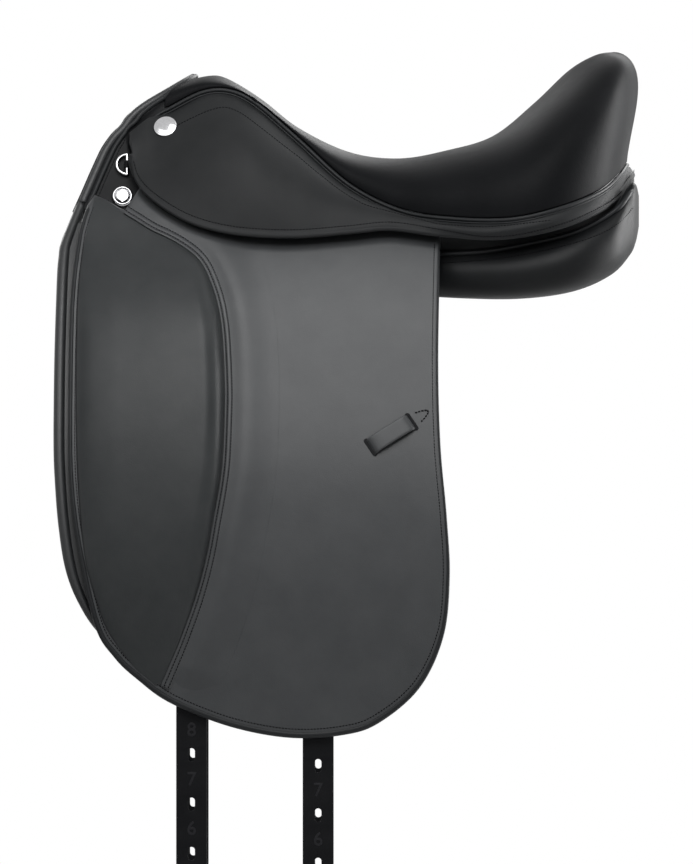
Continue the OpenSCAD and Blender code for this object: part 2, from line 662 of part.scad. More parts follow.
// Safety catch at the rear end of the bar, drawn open, in line with the bar
module bar_catch(near) {
    tongue = catch_w - 4 * run;
    knob = 6;
    knob_low = bar_r * sqrt(2) + gap;
    color("#9ba0a5") at_bar(near) translate([pin_x, bar_off, 0]) rotate([0, 90, 0]) difference() {
        union() {
            translate([0, -tongue / 2, 0]) along_y(tongue, bar_r - 0.7);
            translate([-knob / 2, -tongue / 2, 0]) cube([knob, tongue, knob_low + 1]);
            translate([-knob / 2, -knob / 2, knob_low]) cube([knob, knob, catch_l - knob_low]);
        }
        translate([0, -bar_r, 0]) along_y(2 * bar_r, catch_r + run);
    }
}

// Breastplate dee in its chape on the pommel facing: X along the saddle, Y outwards, Z up the slope
dee_x = -217.5;
dee_z = 128.7;
dee_lean = 18;
chape_wall = 1.4;
chape_w = 7;
chape_tail = 13;
chape_base = dee_wire_r + chape_wall + 2 * run;
function facing_y(z) = curve([for (p = reversed(facing_half)) [p[1], p[0]]], z);
module at_facing(x, z, lean, near) {
    side(near) translate([x, facing_y(z) + 2 * gap, z]) rotate([lean, 0, 0]) children();
}
module dee_ring(near) {
    color("#c3c6c9") at_facing(dee_x, dee_z, dee_lean, near) translate([0, chape_base, 0]) {
        translate([0, 0, -dee_r]) cylinder(r = dee_wire_r, h = 2 * dee_r, $fn = 32);
        for (s = [-1, 1]) translate([0, 0, s * dee_r]) sphere(r = dee_wire_r, $fn = 32);
        rotate([90, 0, 0]) rotate([0, 0, 90]) rotate_extrude(angle = 180, $fn = 64)
            translate([dee_r, 0]) circle(r = dee_wire_r, $fn = 32);
    }
}
module dee_chape(near) {
    color("#17181a") at_facing(dee_x, dee_z, dee_lean, near) difference() {
        union() {
            translate([0, chape_base, -chape_w / 2]) cylinder(r = chape_base, h = chape_w, $fn = 32);
            translate([0, 0, -chape_w / 2]) cube([chape_tail, chape_wall, chape_w]);
        }
        translate([0, chape_base, -chape_w]) cylinder(r = dee_wire_r + run, h = 2 * chape_w, $fn = 32);
    }
}

// Panel screw in its cup washer
screw_x = -222;
screw_z = 98;
screw_lean = 18;
cup_h = 4;
screw_r = 7;
module screw_cups() {
    color("#b4b7ba") for (near = [false, true]) at_facing(screw_x, screw_z, screw_lean, near) rotate([-90, 0, 0])
        rotate_extrude($fn = 64) polygon([
            [2.5, 0], [cup_r, 0], [cup_r, 1.2], [cup_r - 1.5, cup_h], [screw_r + 0.6, cup_h], [screw_r + 0.4, 1.6], [2.5, 1.6]
        ]);
}
module panel_screws() {
    color("#d0d2d4") for (near = [false, true]) at_facing(screw_x, screw_z, screw_lean, near) difference() {
        rotate([-90, 0, 0]) rotate_extrude($fn = 64) polygon([
            [0, 0], [2.4, 0], [2.4, 1.7], [screw_r, 1.7], [screw_r, 3.6], [screw_r - 1.5, 4.8], [0, 5.4]
        ]);
        translate([-0.7, 4.2, -2 * screw_r]) cube([1.4, 4, 4 * screw_r]);
    }
}

// Pommel nails on the skirts
nail_row = 4;
nail_v = 0.2;
nail_h = 3;
nail_shank = 2;
module pommel_nails() {
    p = skirt_point(nail_row, nail_v);
    n = unit(cross(
        skirt_point(nail_row, nail_v + 0.1) - skirt_point(nail_row, nail_v - 0.1),
        skirt_point(nail_row + 1, nail_v) - skirt_point(nail_row - 1, nail_v)
    ));
    out = n[1] < 0 ? -n : n;
    color("#b8bbbe") for (near = [false, true]) side(near) translate(p + (nail_shank + gap) * out)
        rotate([0, acos(out[2]), atan2(out[1], out[0])]) rotate_extrude($fn = 64) polygon([
            [0, -nail_shank], [1.5, -nail_shank], [1.5, 0], [nail_r - 0.6, 0], [nail_r, 0.7], [nail_r - 0.8, 1.8], [nail_r - 3, 2.4], [0, nail_h]
        ]);
}

tree_frame();
gullet_plate();
tree_springs();
seat_webbing();
seat_foam();
seat_cover();
seat_welt();
pommel_facing();
bar_rivets();
catch_pins();
screw_cups();
panel_screws();
pommel_nails();
skirt(true);  // near_skirt
skirt(false);  // off_skirt
panel(true);  // near_panel
panel(false);  // off_panel
panel_gusset(true);  // near_panel_gusset
panel_gusset(false);  // off_panel_gusset
sweat_flap(true);  // near_sweat_flap
sweat_flap(false);  // off_sweat_flap
flap_head(true);  // near_flap_head
flap_head(false);  // off_flap_head
flap(true);  // near_flap
flap(false);  // off_flap
knee_block(true);  // near_knee_block
knee_block(false);  // off_knee_block
flap_welt(true);  // near_flap_welt
flap_welt(false);  // off_flap_welt
leather_keeper(true);  // near_leather_keeper
leather_keeper(false);  // off_leather_keeper
billet_keeper(true);  // near_billet_keeper
billet_keeper(false);  // off_billet_keeper
girth_web(true);  // near_girth_web
girth_web(false);  // off_girth_web
billet_strap(front_billet_x, true);  // near_front_strap
billet_strap(front_billet_x, false);  // off_front_strap
billet_strap(rear_billet_x, true);  // near_rear_strap
billet_strap(rear_billet_x, false);  // off_rear_strap
billet(front_billet_x, front_hole_z, true);  // near_front_billet
billet(front_billet_x, front_hole_z, false);  // off_front_billet
billet(rear_billet_x, rear_hole_z, true);  // near_rear_billet
billet(rear_billet_x, rear_hole_z, false);  // off_rear_billet
stirrup_bar(true);  // near_stirrup_bar
stirrup_bar(false);  // off_stirrup_bar
bar_catch(true);  // near_bar_catch
bar_catch(false);  // off_bar_catch
dee_ring(true);  // near_dee_ring
dee_ring(false);  // off_dee_ring
dee_chape(true);  // near_dee_chape
dee_chape(false);  // off_dee_chape
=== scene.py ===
"""Dressage saddle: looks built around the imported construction.

Tables are in millimetres, objects in metres.
"""
from math import copysign, cos, exp, pi, radians, sin, sqrt

import bmesh
import bpy
import numpy as np
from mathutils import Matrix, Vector
from mathutils.geometry import delaunay_2d_cdt


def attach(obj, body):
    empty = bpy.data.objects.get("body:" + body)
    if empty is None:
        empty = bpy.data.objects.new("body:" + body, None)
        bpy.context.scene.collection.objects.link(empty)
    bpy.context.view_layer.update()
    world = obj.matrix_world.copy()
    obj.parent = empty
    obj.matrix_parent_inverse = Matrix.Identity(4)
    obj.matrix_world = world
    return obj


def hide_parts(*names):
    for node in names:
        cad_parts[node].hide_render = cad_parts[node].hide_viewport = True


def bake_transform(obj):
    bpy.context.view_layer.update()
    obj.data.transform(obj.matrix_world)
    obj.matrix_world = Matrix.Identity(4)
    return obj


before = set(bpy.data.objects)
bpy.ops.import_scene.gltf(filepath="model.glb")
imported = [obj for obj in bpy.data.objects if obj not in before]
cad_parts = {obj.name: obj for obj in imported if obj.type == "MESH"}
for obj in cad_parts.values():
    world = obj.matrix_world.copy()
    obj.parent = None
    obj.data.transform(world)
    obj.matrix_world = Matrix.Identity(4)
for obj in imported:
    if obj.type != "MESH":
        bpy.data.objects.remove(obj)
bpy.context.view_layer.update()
MM = 0.001
SIDES = (("near", -1), ("off", 1))

# Driving sizes, as in the construction
GAP = 0.4
POMMEL_Z, SEAT_Z, CANTLE_Z, SEAT_HALF_W, SEAT_T = 215, 137, 240, 166, 3
BARREL_R, BARREL_HALF_W, HANG_Z = 640, 250, -330
FLAP_T, SWEAT_T, FLAP_LOW_Z, FOLD_Z, BLOCK_CROWN, SKIRT_T = 5, 4, -429, 52, 22, 5
BILLET_W, BILLET_T, HOLE_PITCH, HOLE_COUNT, HOLE_W, HOLE_L, BILLET_TIP = 30, 4, 48, 7, 6.4, 13, 34
BILLET_D = SWEAT_T + GAP
FLAP_D = BILLET_D + BILLET_T + 1.8 + 2 * GAP
FLAP_OUT = FLAP_D + FLAP_T
WELT_R = 2
STITCH_PITCH = 3.1


# Curves

def slope(table, i):
    a, b = max(i - 1, 0), min(i + 1, len(table) - 1)
    return (table[b][1] - table[a][1]) / (table[b][0] - table[a][0])


def curve(table, x):
    """Hermite curve through a table of (x, value) rows."""
    i = 0
    while i < len(table) - 2 and x >= table[i + 1][0]:
        i += 1
    w = table[i + 1][0] - table[i][0]
    u = (x - table[i][0]) / w
    return (table[i][1] * (1 + 2 * u) * (1 - u) ** 2 + slope(table, i) * w * u * (1 - u) ** 2
            + table[i + 1][1] * u * u * (3 - 2 * u) + slope(table, i + 1) * w * u * u * (u - 1))


def smooth(points, steps):
    """Catmull-Rom line through points of any dimension."""
    p = [np.array(q, float) for q in points]
    last = len(p) - 1
    out = []
    for i in range(last):
        a, b, c, d = p[max(i - 1, 0)], p[i], p[i + 1], p[min(i + 2, last)]
        for k in range(steps):
            u = k / steps
            out.append(0.5 * (2 * b + (c - a) * u + (2 * a - 5 * b + 4 * c - d) * u * u
                              + (3 * b - 3 * c + d - a) * u ** 3))
    out.append(p[last])
    return np.array(out)


def smooth_values(values, steps):
    return smooth([(v,) for v in values], steps)[:, 0]


def run_of(path):
    """Length of a path up to each of its points."""
    return np.concatenate([[0], np.cumsum(np.linalg.norm(np.diff(path, axis=0), axis=1))])


def along(path):
    """Share of a path's length at each of its points."""
    run = run_of(path)
    return run / run[-1]


def resample(path, pitch):
    """Path cut into equal steps of about one pitch."""
    path = np.asarray(path, float)
    run = run_of(path)
    at = np.linspace(0, run[-1], max(int(round(run[-1] / pitch)), 2) + 1)
    return np.stack([np.interp(at, run, path[:, k]) for k in range(path.shape[1])], axis=1)


def halved(low, high, short):
    """Last value between low and high that is still short of a mark."""
    for _ in range(20):
        mid = (low + high) / 2
        low, high = (mid, high) if short(mid) else (low, mid)
    return low


def unit(v):
    v = np.asarray(v, float)
    return v / np.maximum(np.linalg.norm(v, axis=-1, keepdims=True), 1e-9)


def heading(line):
    return unit(np.gradient(line, axis=0))


def layer_y(z, d):
    """Distance from the centre plane of a leather layer, d outside the barrel."""
    if z < HANG_Z:
        return BARREL_HALF_W + d
    return BARREL_HALF_W - BARREL_R + sqrt((BARREL_R + d) ** 2 - (z - HANG_Z) ** 2)


def on_layer(x, z, d):
    return np.array([x, layer_y(z, d), z])


def layer_normal(z):
    s = max((z - HANG_Z) / (BARREL_R + FLAP_OUT), 0)
    return np.array([0, sqrt(1 - s * s), s])


# Meshes

def linked(name, data):
    obj = bpy.data.objects.new(name, data)
    bpy.context.scene.collection.objects.link(obj)
    return obj


def mesh_object(name, verts, faces, material, k=1):
    """Mesh in the row frame from millimetres; k of -1 mirrors it to the near side."""
    v = np.asarray(verts, float) * MM * [1, k, 1]
    if k < 0:
        faces = [tuple(reversed(f)) for f in faces]
    me = bpy.data.meshes.new(name)
    me.from_pydata(v.tolist(), [], [tuple(f) for f in faces])
    me.validate()
    bm = bmesh.new()
    bm.from_mesh(me)
    bmesh.ops.remove_doubles(bm, verts=bm.verts, dist=1e-6)
    bmesh.ops.recalc_face_normals(bm, faces=bm.faces)
    bm.to_mesh(me)
    bm.free()
    me.polygons.foreach_set("use_smooth", [True] * len(me.polygons))
    me.materials.append(material)
    return linked(name, me)


def grid_faces(n, m, base=0, wrap=False):
    faces = []
    for i in range(n - 1):
        for j in range(m if wrap else m - 1):
            a, b = base + i * m + j, base + i * m + (j + 1) % m
            faces.append((a, b, b + m, a + m))
    return faces


def grid_normals(g):
    return unit(np.cross(np.gradient(g, axis=0), np.gradient(g, axis=1)))


def rim_of(n, m):
    return ([(0, j) for j in range(m)] + [(i, m - 1) for i in range(1, n)]
            + [(n - 1, j) for j in range(m - 2, -1, -1)] + [(i, 0) for i in range(n - 2, 0, -1)])


def tube_faces(n, m):
    """Faces of n closed rings of m points, with both ends capped."""
    return grid_faces(n, m, wrap=True) + [tuple(range(m)), tuple(range(n * m - 1, (n - 1) * m - 1, -1))]


def sheet_faces(n, m):
    """Faces of two grids of n by m points that lie back to back."""
    return grid_faces(n, m) + [tuple(reversed(f)) for f in grid_faces(n, m, n * m)]


def bands(loops):
    """Faces between each closed loop of point numbers and the next."""
    faces = []
    for a, b in zip(loops, loops[1:]):
        faces += zip(a, a[1:] + a[:1], b[1:] + b[:1], b)
    return faces


FAR = 900


def shell(grid, thickness, out, rim_steps=4):
    """Closed sheet with rounded edges: grid is the outer face and out a point that lies outside it."""
    g = np.asarray(grid, float)
    n, m = g.shape[:2]
    nor = grid_normals(g)
    mid = (n // 2, m // 2)
    if np.dot(nor[mid], np.asarray(out) - g[mid]) < 0:
        nor = -nor
    verts = [g.reshape(-1, 3), (g - thickness * nor).reshape(-1, 3)]
    rim = rim_of(n, m)
    loops = [[i * m + j for i, j in rim]]
    for s in range(1, rim_steps):
        t = pi * s / rim_steps
        ring = []
        for i, j in rim:
            side = unit(g[i, j] - g[min(max(i, 1), n - 2), min(max(j, 1), m - 2)])
            turned = cos(t) * nor[i, j] + sin(t) * side
            ring.append(g[i, j] + thickness / 2 * (turned - nor[i, j]))
        verts.append(np.array(ring))
        first = 2 * n * m + (s - 1) * len(rim)
        loops.append(list(range(first, first + len(rim))))
    loops.append([n * m + q for q in loops[0]])
    return np.concatenate(verts), sheet_faces(n, m) + bands(loops)


def closed_pad(top, low):
    """Closed form between two grids of the same size."""
    n, m = top.shape[:2]
    rim = [i * m + j for i, j in rim_of(n, m)]
    faces = sheet_faces(n, m) + bands([rim, [q + n * m for q in rim]])
    return np.concatenate([top.reshape(-1, 3), low.reshape(-1, 3)]), faces


def sweep(path, section, ups=None):
    """Closed solid of a section (across, up) swept along a path; ups are the section's up directions."""
    path = np.asarray(path, float)
    if ups is None:
        ups = [(0, 0, 1)] * len(path)
    rows = []
    for i, (p, d, u) in enumerate(zip(path, heading(path), ups)):
        across = unit(np.cross(d, u))
        up = unit(np.cross(across, d))
        ring = section(i) if callable(section) else section
        rows.append([p + a * across + b * up for a, b in ring])
    g = np.array(rows)
    return g.reshape(-1, 3), tube_faces(*g.shape[:2])


def circle(r, sides=14):
    turns = [2 * pi * q / sides for q in range(sides)]
    return [(r * cos(a), r * sin(a)) for a in turns]


def taper(path, r, ends=3.0):
    """Round section that closes softly at both ends of a path."""
    run = run_of(path)
    near_end = np.minimum(run, run[-1] - run)
    grow = np.sqrt(np.clip(1 - (1 - np.minimum(near_end / ends, 1)) ** 2, 0.02, 1))
    size = r(run / run[-1]) if callable(r) else np.full(len(run), float(r))
    return lambda i: circle(size[i] * grow[i])


def join(parts):
    """One mesh from several (verts, faces) parts."""
    verts, faces, base = [], [], 0
    for v, f in parts:
        verts.append(np.asarray(v))
        faces += [tuple(q + base for q in face) for face in f]
        base += len(v)
    return np.concatenate(verts), faces


STITCH = [(-0.5, 0.25), (-0.38, 0.8), (0, 1), (0.38, 0.8), (0.5, 0.25)]
STITCH_FILL, STITCH_SIDES, STITCH_PROUD = 0.74, 6, 0.15


def stitch_row(path, normals, pitch=STITCH_PITCH, r=0.5):
    """Sewing thread along a path: one pillow-shaped stitch to a pitch, half sunk in the leather."""
    both = resample(np.concatenate([path, normals], axis=1), pitch)
    pts, nor = both[:, :3], unit(both[:, 3:])
    faces = tube_faces(len(STITCH), STITCH_SIDES)
    parts = []
    for a, b, n in zip(pts[:-1], pts[1:], nor[:-1]):
        d = unit(b - a)
        side = unit(np.cross(d, n))
        c = (a + b) / 2 + STITCH_PROUD * r * n
        ring = []
        for s, w in STITCH:
            for across, up in circle(w * r, STITCH_SIDES):
                ring.append(c + s * STITCH_FILL * pitch * d + across * side + up * n)
        parts.append((np.array(ring), faces))
    return join(parts)


LATHE_STEPS = 64


def lathe(profile):
    """Turned form about Z from (radius, height) points, with closed poles."""
    rings = [(x, y, h) for r, h in profile for x, y in circle(r, LATHE_STEPS)]
    return np.array(rings), tube_faces(len(profile), LATHE_STEPS)


def placed(part, origin, up):
    """Part with its Z turned to up and its X kept near X, moved to origin."""
    v, f = part
    z = unit(up)
    x = unit([1, 0, 0] - z[0] * z)
    return v @ np.array([x, np.cross(z, x), z]) + origin, f


SHEET_PITCH, SHEET_STEP = 4.0, 7.0
SHEET_RINGS, SHEET_CLEAR = (1.2, 3.5), 2.5


def leather_sheet(outline, d_low, d_high):
    """Blocked leather sheet on the barrel: an outline in X and Z between two offsets, with a rounded rim."""
    line = resample(np.concatenate([outline, outline[:1]]), SHEET_PITCH)[:-1]
    area = np.sum(line[:, 0] * np.roll(line[:, 1], -1) - np.roll(line[:, 0], -1) * line[:, 1])
    if area < 0:
        line = line[::-1]
    t = unit(np.roll(line, -1, axis=0) - np.roll(line, 1, axis=0))
    outward = np.stack([t[:, 1], -t[:, 0]], axis=1)
    r = (d_high - d_low) / 2
    border = line - r * outward
    rings = [border] + [border - s * outward for s in SHEET_RINGS]
    xs, zs = (np.arange(a, b, SHEET_STEP) for a, b in zip(line.min(0), line.max(0)))
    pts = np.array([(x, z) for x in xs for z in zs])
    flat = np.concatenate(rings + [pts[inside(pts, rings[-1] - SHEET_CLEAR * outward)]])
    n = len(border)
    edges = [(i, (i + 1) % n) for i in range(n)]
    made = delaunay_2d_cdt([Vector(p) for p in flat], edges, [], 1, 1e-7)
    xz = [tuple(p) for p in made[0]]
    tri = [tuple(f) for f in made[2]]
    order = [made[3].index(next(o for o in made[3] if i in o)) for i in range(n)]
    verts = [on_layer(x, z, d) for d in (d_high, d_low) for x, z in xz]
    faces = tri + [tuple(reversed([q + len(xz) for q in f])) for f in tri]
    loops = [order]
    for s in (1, 2, 3):
        a = pi * s / 4
        loops.append(list(range(len(verts), len(verts) + n)))
        for x, z in border + r * sin(a) * outward:
            verts.append(on_layer(x, z, (d_high + d_low) / 2 + r * cos(a)))
    loops.append([q + len(xz) for q in order])
    return np.array(verts), faces + bands(loops)


def inside(pts, polygon):
    hit = np.zeros(len(pts), bool)
    j = len(polygon) - 1
    for i in range(len(polygon)):
        a, b = polygon[i], polygon[j]
        cross = (a[1] > pts[:, 1]) != (b[1] > pts[:, 1])
        x = (b[0] - a[0]) * (pts[:, 1] - a[1]) / (b[1] - a[1] + 1e-12) + a[0]
        hit ^= cross & (pts[:, 0] < x)
        j = i
    return hit


# Materials

def feed(tree, n, **values):
    """Node with its properties set, and its inputs set or linked, by name."""
    for key, value in values.items():
        if hasattr(n, key):
            setattr(n, key, value)
            continue
        socket = n.inputs[key.replace("_", " ")]
        if isinstance(value, bpy.types.NodeSocket):
            tree.links.new(value, socket)
        else:
            socket.default_value = value
    return n


def add(tree, kind, **values):
    return feed(tree, tree.nodes.new(kind), **values)


LOOKS = {}


def new_look(name):
    """Material kept by its name: its node tree, its shader and the place that its textures follow."""
    LOOKS[name] = bpy.data.materials.new(name)
    LOOKS[name].use_nodes = True
    t = LOOKS[name].node_tree
    return t, t.nodes["Principled BSDF"], add(t, "ShaderNodeTexCoord").outputs["Object"]


def ramp(tree, source, low, high):
    """Colour of a source that runs between two stops of (position, colour or grey)."""
    r = add(tree, "ShaderNodeValToRGB", Fac=source)
    for e, (pos, shade) in zip(r.color_ramp.elements, (low, high)):
        e.position = pos
        e.color = (*shade, 1) if isinstance(shade, tuple) else (shade, shade, shade, 1)
    return r.outputs["Color"]


def mottled(tree, source, colour, share, full=0.7):
    """Colour that falls to a share of itself where the source is low."""
    return ramp(tree, source, (0.3, tuple(share * c for c in colour)), (full, colour))


def noise(tree, place, scale, detail, **more):
    return add(tree, "ShaderNodeTexNoise", Vector=place, Scale=scale, Detail=detail, **more).outputs["Fac"]


def spread(tree, source, low, high):
    return add(tree, "ShaderNodeMapRange", Value=source, To_Min=low, To_Max=high).outputs["Result"]


def bump(tree, height, strength, depth, **more):
    n = add(tree, "ShaderNodeBump", Height=height, Strength=strength, Distance=depth * MM, **more)
    return n.outputs["Normal"]


def larger(tree, a, b):
    n = add(tree, "ShaderNodeMath", operation="MAXIMUM")
    tree.links.new(a, n.inputs[0])
    tree.links.new(b, n.inputs[1])
    return n.outputs["Value"]


WORN = (0.075, 0.075, 0.078, 1)
SHINE_SPREAD = 0.1


def leather(name, dark, light, rough, specular, grain=0.9, depth=0.10, wear=0.5):
    """Dyed leather: mottled colour, pebbled grain of a given cell size in mm, and paler worn edges."""
    t, bsdf, place = new_look(name)
    colour = ramp(t, noise(t, place, 22.0, 5.0, Roughness=0.6), (0.3, dark), (0.7, light))
    edge = ramp(t, add(t, "ShaderNodeNewGeometry").outputs["Pointiness"], (0.52, 0.0), (0.62, wear))
    worn = add(t, "ShaderNodeMix", data_type="RGBA", Factor=edge, A=colour, B=WORN)
    cells = add(t, "ShaderNodeTexVoronoi", feature="SMOOTH_F1", Vector=place, Scale=1000 / grain,
                Smoothness=0.35)
    creases = noise(t, place, 90.0, 6.0, Roughness=0.65, Distortion=0.6)
    pores = bump(t, noise(t, place, 2600.0, 2.0), 0.3, depth * 0.5)
    soft = bump(t, creases, 0.35, depth * 3, Normal=pores)
    pebble = bump(t, cells.outputs["Distance"], 0.45, depth, Normal=soft, invert=True)
    shine = spread(t, creases, rough, rough + SHINE_SPREAD)
    feed(t, bsdf, Base_Color=worn.outputs["Result"], Roughness=shine, Normal=pebble,
         Specular_IOR_Level=specular)


def metal(name, colour, rough, scratch=0.06):
    """Plated metal with fine polishing marks and slightly uneven shine."""
    t, bsdf, place = new_look(name)
    haze = noise(t, place, 420.0, 4.0)
    lines = noise(t, place, 2200.0, 2.0, Distortion=1.5)
    shine = spread(t, haze, rough * 0.8, rough * 1.3)
    feed(t, bsdf, Base_Color=mottled(t, haze, colour, 0.88), Roughness=shine, Metallic=1.0,
         Normal=bump(t, lines, scratch, 0.05))


def woven(name, colour, scale, rough=0.8, depth=0.25, specular=0.3):
    """Woven or twisted yarn: crossed waves for the threads, with uneven dye."""
    t, bsdf, place = new_look(name)
    waves = [add(t, "ShaderNodeTexWave", bands_direction=axis, Vector=place, Scale=scale, Distortion=0.4)
             for axis in ("X", "Y")]
    threads = larger(t, *(w.outputs["Fac"] for w in waves))
    feed(t, bsdf, Base_Color=mottled(t, noise(t, place, 140.0, 4.0), colour, 0.7, 0.75), Roughness=rough,
         Normal=bump(t, threads, 0.6, depth), Specular_IOR_Level=specular)


def moulded(name, colour, rough, bumps=600.0, depth=0.15, specular=0.3, uneven=0.8):
    """Moulded or foamed plastic with a fine uneven skin."""
    t, bsdf, place = new_look(name)
    skin = noise(t, place, bumps, 5.0, Roughness=0.65)
    feed(t, bsdf, Base_Color=mottled(t, noise(t, place, 26.0, 3.0), colour, uneven),
         Roughness=spread(t, skin, rough - 0.06, rough + 0.06), Normal=bump(t, skin, 0.4, depth),
         Specular_IOR_Level=specular)


leather("flap_leather", (0.033, 0.035, 0.037), (0.043, 0.045, 0.047), 0.33, 0.22)
# Knee-block leather: the flap leather again, darker and less shiny, as painted shade for the knee blocks.
leather("block_leather_painted_shade", (0.022, 0.024, 0.025), (0.030, 0.032, 0.033), 0.31, 0.14)
leather("seat_leather", (0.003, 0.0033, 0.0038), (0.005, 0.0053, 0.006), 0.46, 0.045,
        grain=1.3, depth=0.14, wear=0.1)
leather("skirt_leather", (0.013, 0.0138, 0.0145), (0.018, 0.0188, 0.0195), 0.42, 0.08, wear=0.4)
# Facing leather: black leather, darkened further as painted shade for the shaded pommel front.
leather("facing_leather_painted_shade", (0.004, 0.0044, 0.005), (0.006, 0.0064, 0.007), 0.42, 0.08, wear=0.1)
leather("welt_leather", (0.009, 0.010, 0.011), (0.013, 0.014, 0.015), 0.38, 0.13, wear=0.12)
leather("panel_leather", (0.005, 0.0055, 0.006), (0.008, 0.0085, 0.009), 0.42, 0.11, grain=1.1, wear=0.3)
leather("sweat_leather", (0.013, 0.014, 0.015), (0.018, 0.019, 0.020), 0.36, 0.32, wear=0.15)
leather("strap_leather", (0.004, 0.0042, 0.005), (0.006, 0.0062, 0.007), 0.5, 0.06, grain=0.7, wear=0.3)
woven("thread", (0.004, 0.004, 0.005), 900.0, rough=0.6, depth=0.08, specular=0.04)
moulded("pressed_number", (0.010, 0.010, 0.012), 0.4, depth=0.03, specular=0.15)
metal("chrome", (0.50, 0.50, 0.51), 0.16)
metal("steel", (0.46, 0.47, 0.49), 0.30, scratch=0.15)
metal("copper", (0.72, 0.40, 0.24), 0.28)
moulded("tree_plastic", (0.030, 0.030, 0.032), 0.48)
moulded("latex_foam", (0.020, 0.021, 0.022), 0.85, bumps=900.0, depth=0.5)
woven("webbing", (0.46, 0.42, 0.34), 520.0, depth=0.5)
SLOT_LOOKS = {"leather": "flap_leather", "foam": "latex_foam"}
FOLD = (143, FOLD_Z, 6)


def piece(name, part, slot, body="root", k=1, solids=(), look=None, bend=None, fill=None):
    """One object of the model: made, given its finish, set to ride and to stand for its solids.

    A bend gives where the leather would turn from the root to its body: y, z and the reach above and below.
    The leather is not bent there: a piece given a bend is fixed where it is made and does not ride on its
    body.
    """
    obj = mesh_object(name, *part, LOOKS[look or SLOT_LOOKS.get(slot, slot)], k)
    if bend:
        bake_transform(obj)
    else:
        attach(obj, body)
    if solids:
        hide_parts(*solids)


def pair(name, part, slot, body="root", solids=(), **more):
    """The same piece on both sides, with its body and solids named without their side."""
    for side, k in SIDES:
        rides_on = body if body == "root" else f"{side}_{body}"
        piece(f"{side}_{name}", part, slot, rides_on, k, [f"{side}_{s}" for s in solids], **more)


def sewn(name, *rows, slot="leather", **more):
    """Stitches on both sides along rows of (path, normals)."""
    pair(name, join([stitch_row(*r) for r in rows]), slot, look="thread", **more)


# Seat and its welt

def above(base, *rows):
    """Rows of a table whose last value is a height above a base."""
    return [(*r[:-1], base + r[-1]) for r in rows]


SEAT_LINE = (above(POMMEL_Z, (-144, -1), (-130, 2), (-112, -5), (-84, -23))
             + above(SEAT_Z, (-49, 28), (0, 5), (48, 1), (95, 12), (140, 30))
             + above(CANTLE_Z, (180, -41), (214, -13), (240, -2), (258, 0)))
SEAT_EDGE = (above(POMMEL_Z, (-180, 66, -29), (-146, 66, -12), (-118, 68, -10), (-90, 72, -23))
             + above(SEAT_Z, (-49, 80, 20), (0, 98, -24), (49, 121, -49), (97, 145, -57),
                     (156, SEAT_HALF_W - 1, -58), (205, 160, -47), (244, 128, -31), (263, 78, -15),
                     (271, 6, -4)))
SEAT_DISH = [0, 0, 0, 0, 0, 0, 2, 5, 9, 9, 5, 1, 0]
SEAT_BACK = [0, 0, 0, 0, 0, 0, 0, 0, 2, 5, 9, 12, 14]
SEAT_SHOULDER = [0, 0, 0, 0, 0, 0, 0, 0, 1, 3, 6, 8, 0]
FINE = 9
SEAM_IN = 4.7
line_fine = smooth(SEAT_LINE, FINE)
edge_fine = smooth(SEAT_EDGE, FINE)
dish_fine, back_fine, shoulder_fine = (smooth_values(t, FINE) for t in (SEAT_DISH, SEAT_BACK, SEAT_SHOULDER))


def seat_point(i, a):
    """Point of the seat: i counts along it, a in degrees from the centre line to the sewn edge."""
    c, e = line_fine[i], edge_fine[i]
    s, k = sin(radians(abs(a))), max(cos(radians(a)), 0)
    seam = np.interp(i, [len(line_fine) - 1 - FINE, len(line_fine) - 1], [0, SEAM_IN])
    x = c[0] + (e[0] - c[0]) * s + back_fine[i] * 2 * s * k
    z = e[2] + (c[1] - e[2]) * k ** 0.75 - dish_fine[i] * k ** 6 + shoulder_fine[i] * (2 * s * k) ** 2
    return x, copysign((e[1] - seam) * s, a), z


def seat_grid(rows, angles):
    return np.array([[seat_point(i, a) for a in angles] for i in rows])


seat_angles = 90 * np.sin(np.radians(np.linspace(-90, 90, 65)))
seat_sheet = shell(seat_grid(range(len(line_fine)), seat_angles), SEAT_T, (40, 0, FAR))
piece("seat_leather", seat_sheet, "seat_leather", solids=["seat_cover"], fill=0.8)

FOAM_FRONT, FOAM_REAR, FOAM_ANGLE, FOAM_DEPTH, FOAM_T = 3, 18, 62, 5.5, 9
foam_grid = seat_grid(range(FOAM_FRONT, len(line_fine) - FOAM_REAR), np.linspace(-FOAM_ANGLE, FOAM_ANGLE, 29))
foam_out = grid_normals(foam_grid)
foam_out *= np.sign(foam_out[..., 2:3])
foam_pad = shell(foam_grid - FOAM_DEPTH * foam_out, FOAM_T, (40, 0, FAR))
piece("seat_foam_pad", foam_pad, "foam", solids=["seat_foam"], fill=0.9)


def below(line, d):
    """Line moved down, square to the way it runs."""
    t = heading(line)
    return line + d * unit(np.array([0, 0, -1.0]) + t[:, 2:3] * t)


def both_sides(half):
    return np.concatenate([half * [1, -1, 1], half[::-1]])


front_end = edge_fine[0] + [[-16, 3.5, -10.5], [-12, 2.2, -7], [-8, 1.2, -4], [-4, 0.5, -1.7]]
welt_edge = np.concatenate([front_end, edge_fine])
welt_path = both_sides(below(welt_edge, WELT_R + 4 * GAP))
cord_path = both_sides(below(welt_edge, 2 * WELT_R + 6 * GAP))
CORD_R = 1.2
welt = join([sweep(welt_path, taper(welt_path, WELT_R)), sweep(cord_path, taper(cord_path, CORD_R))])
piece("seat_piping", welt, "welt_leather", solids=["seat_welt"])

# Skirts

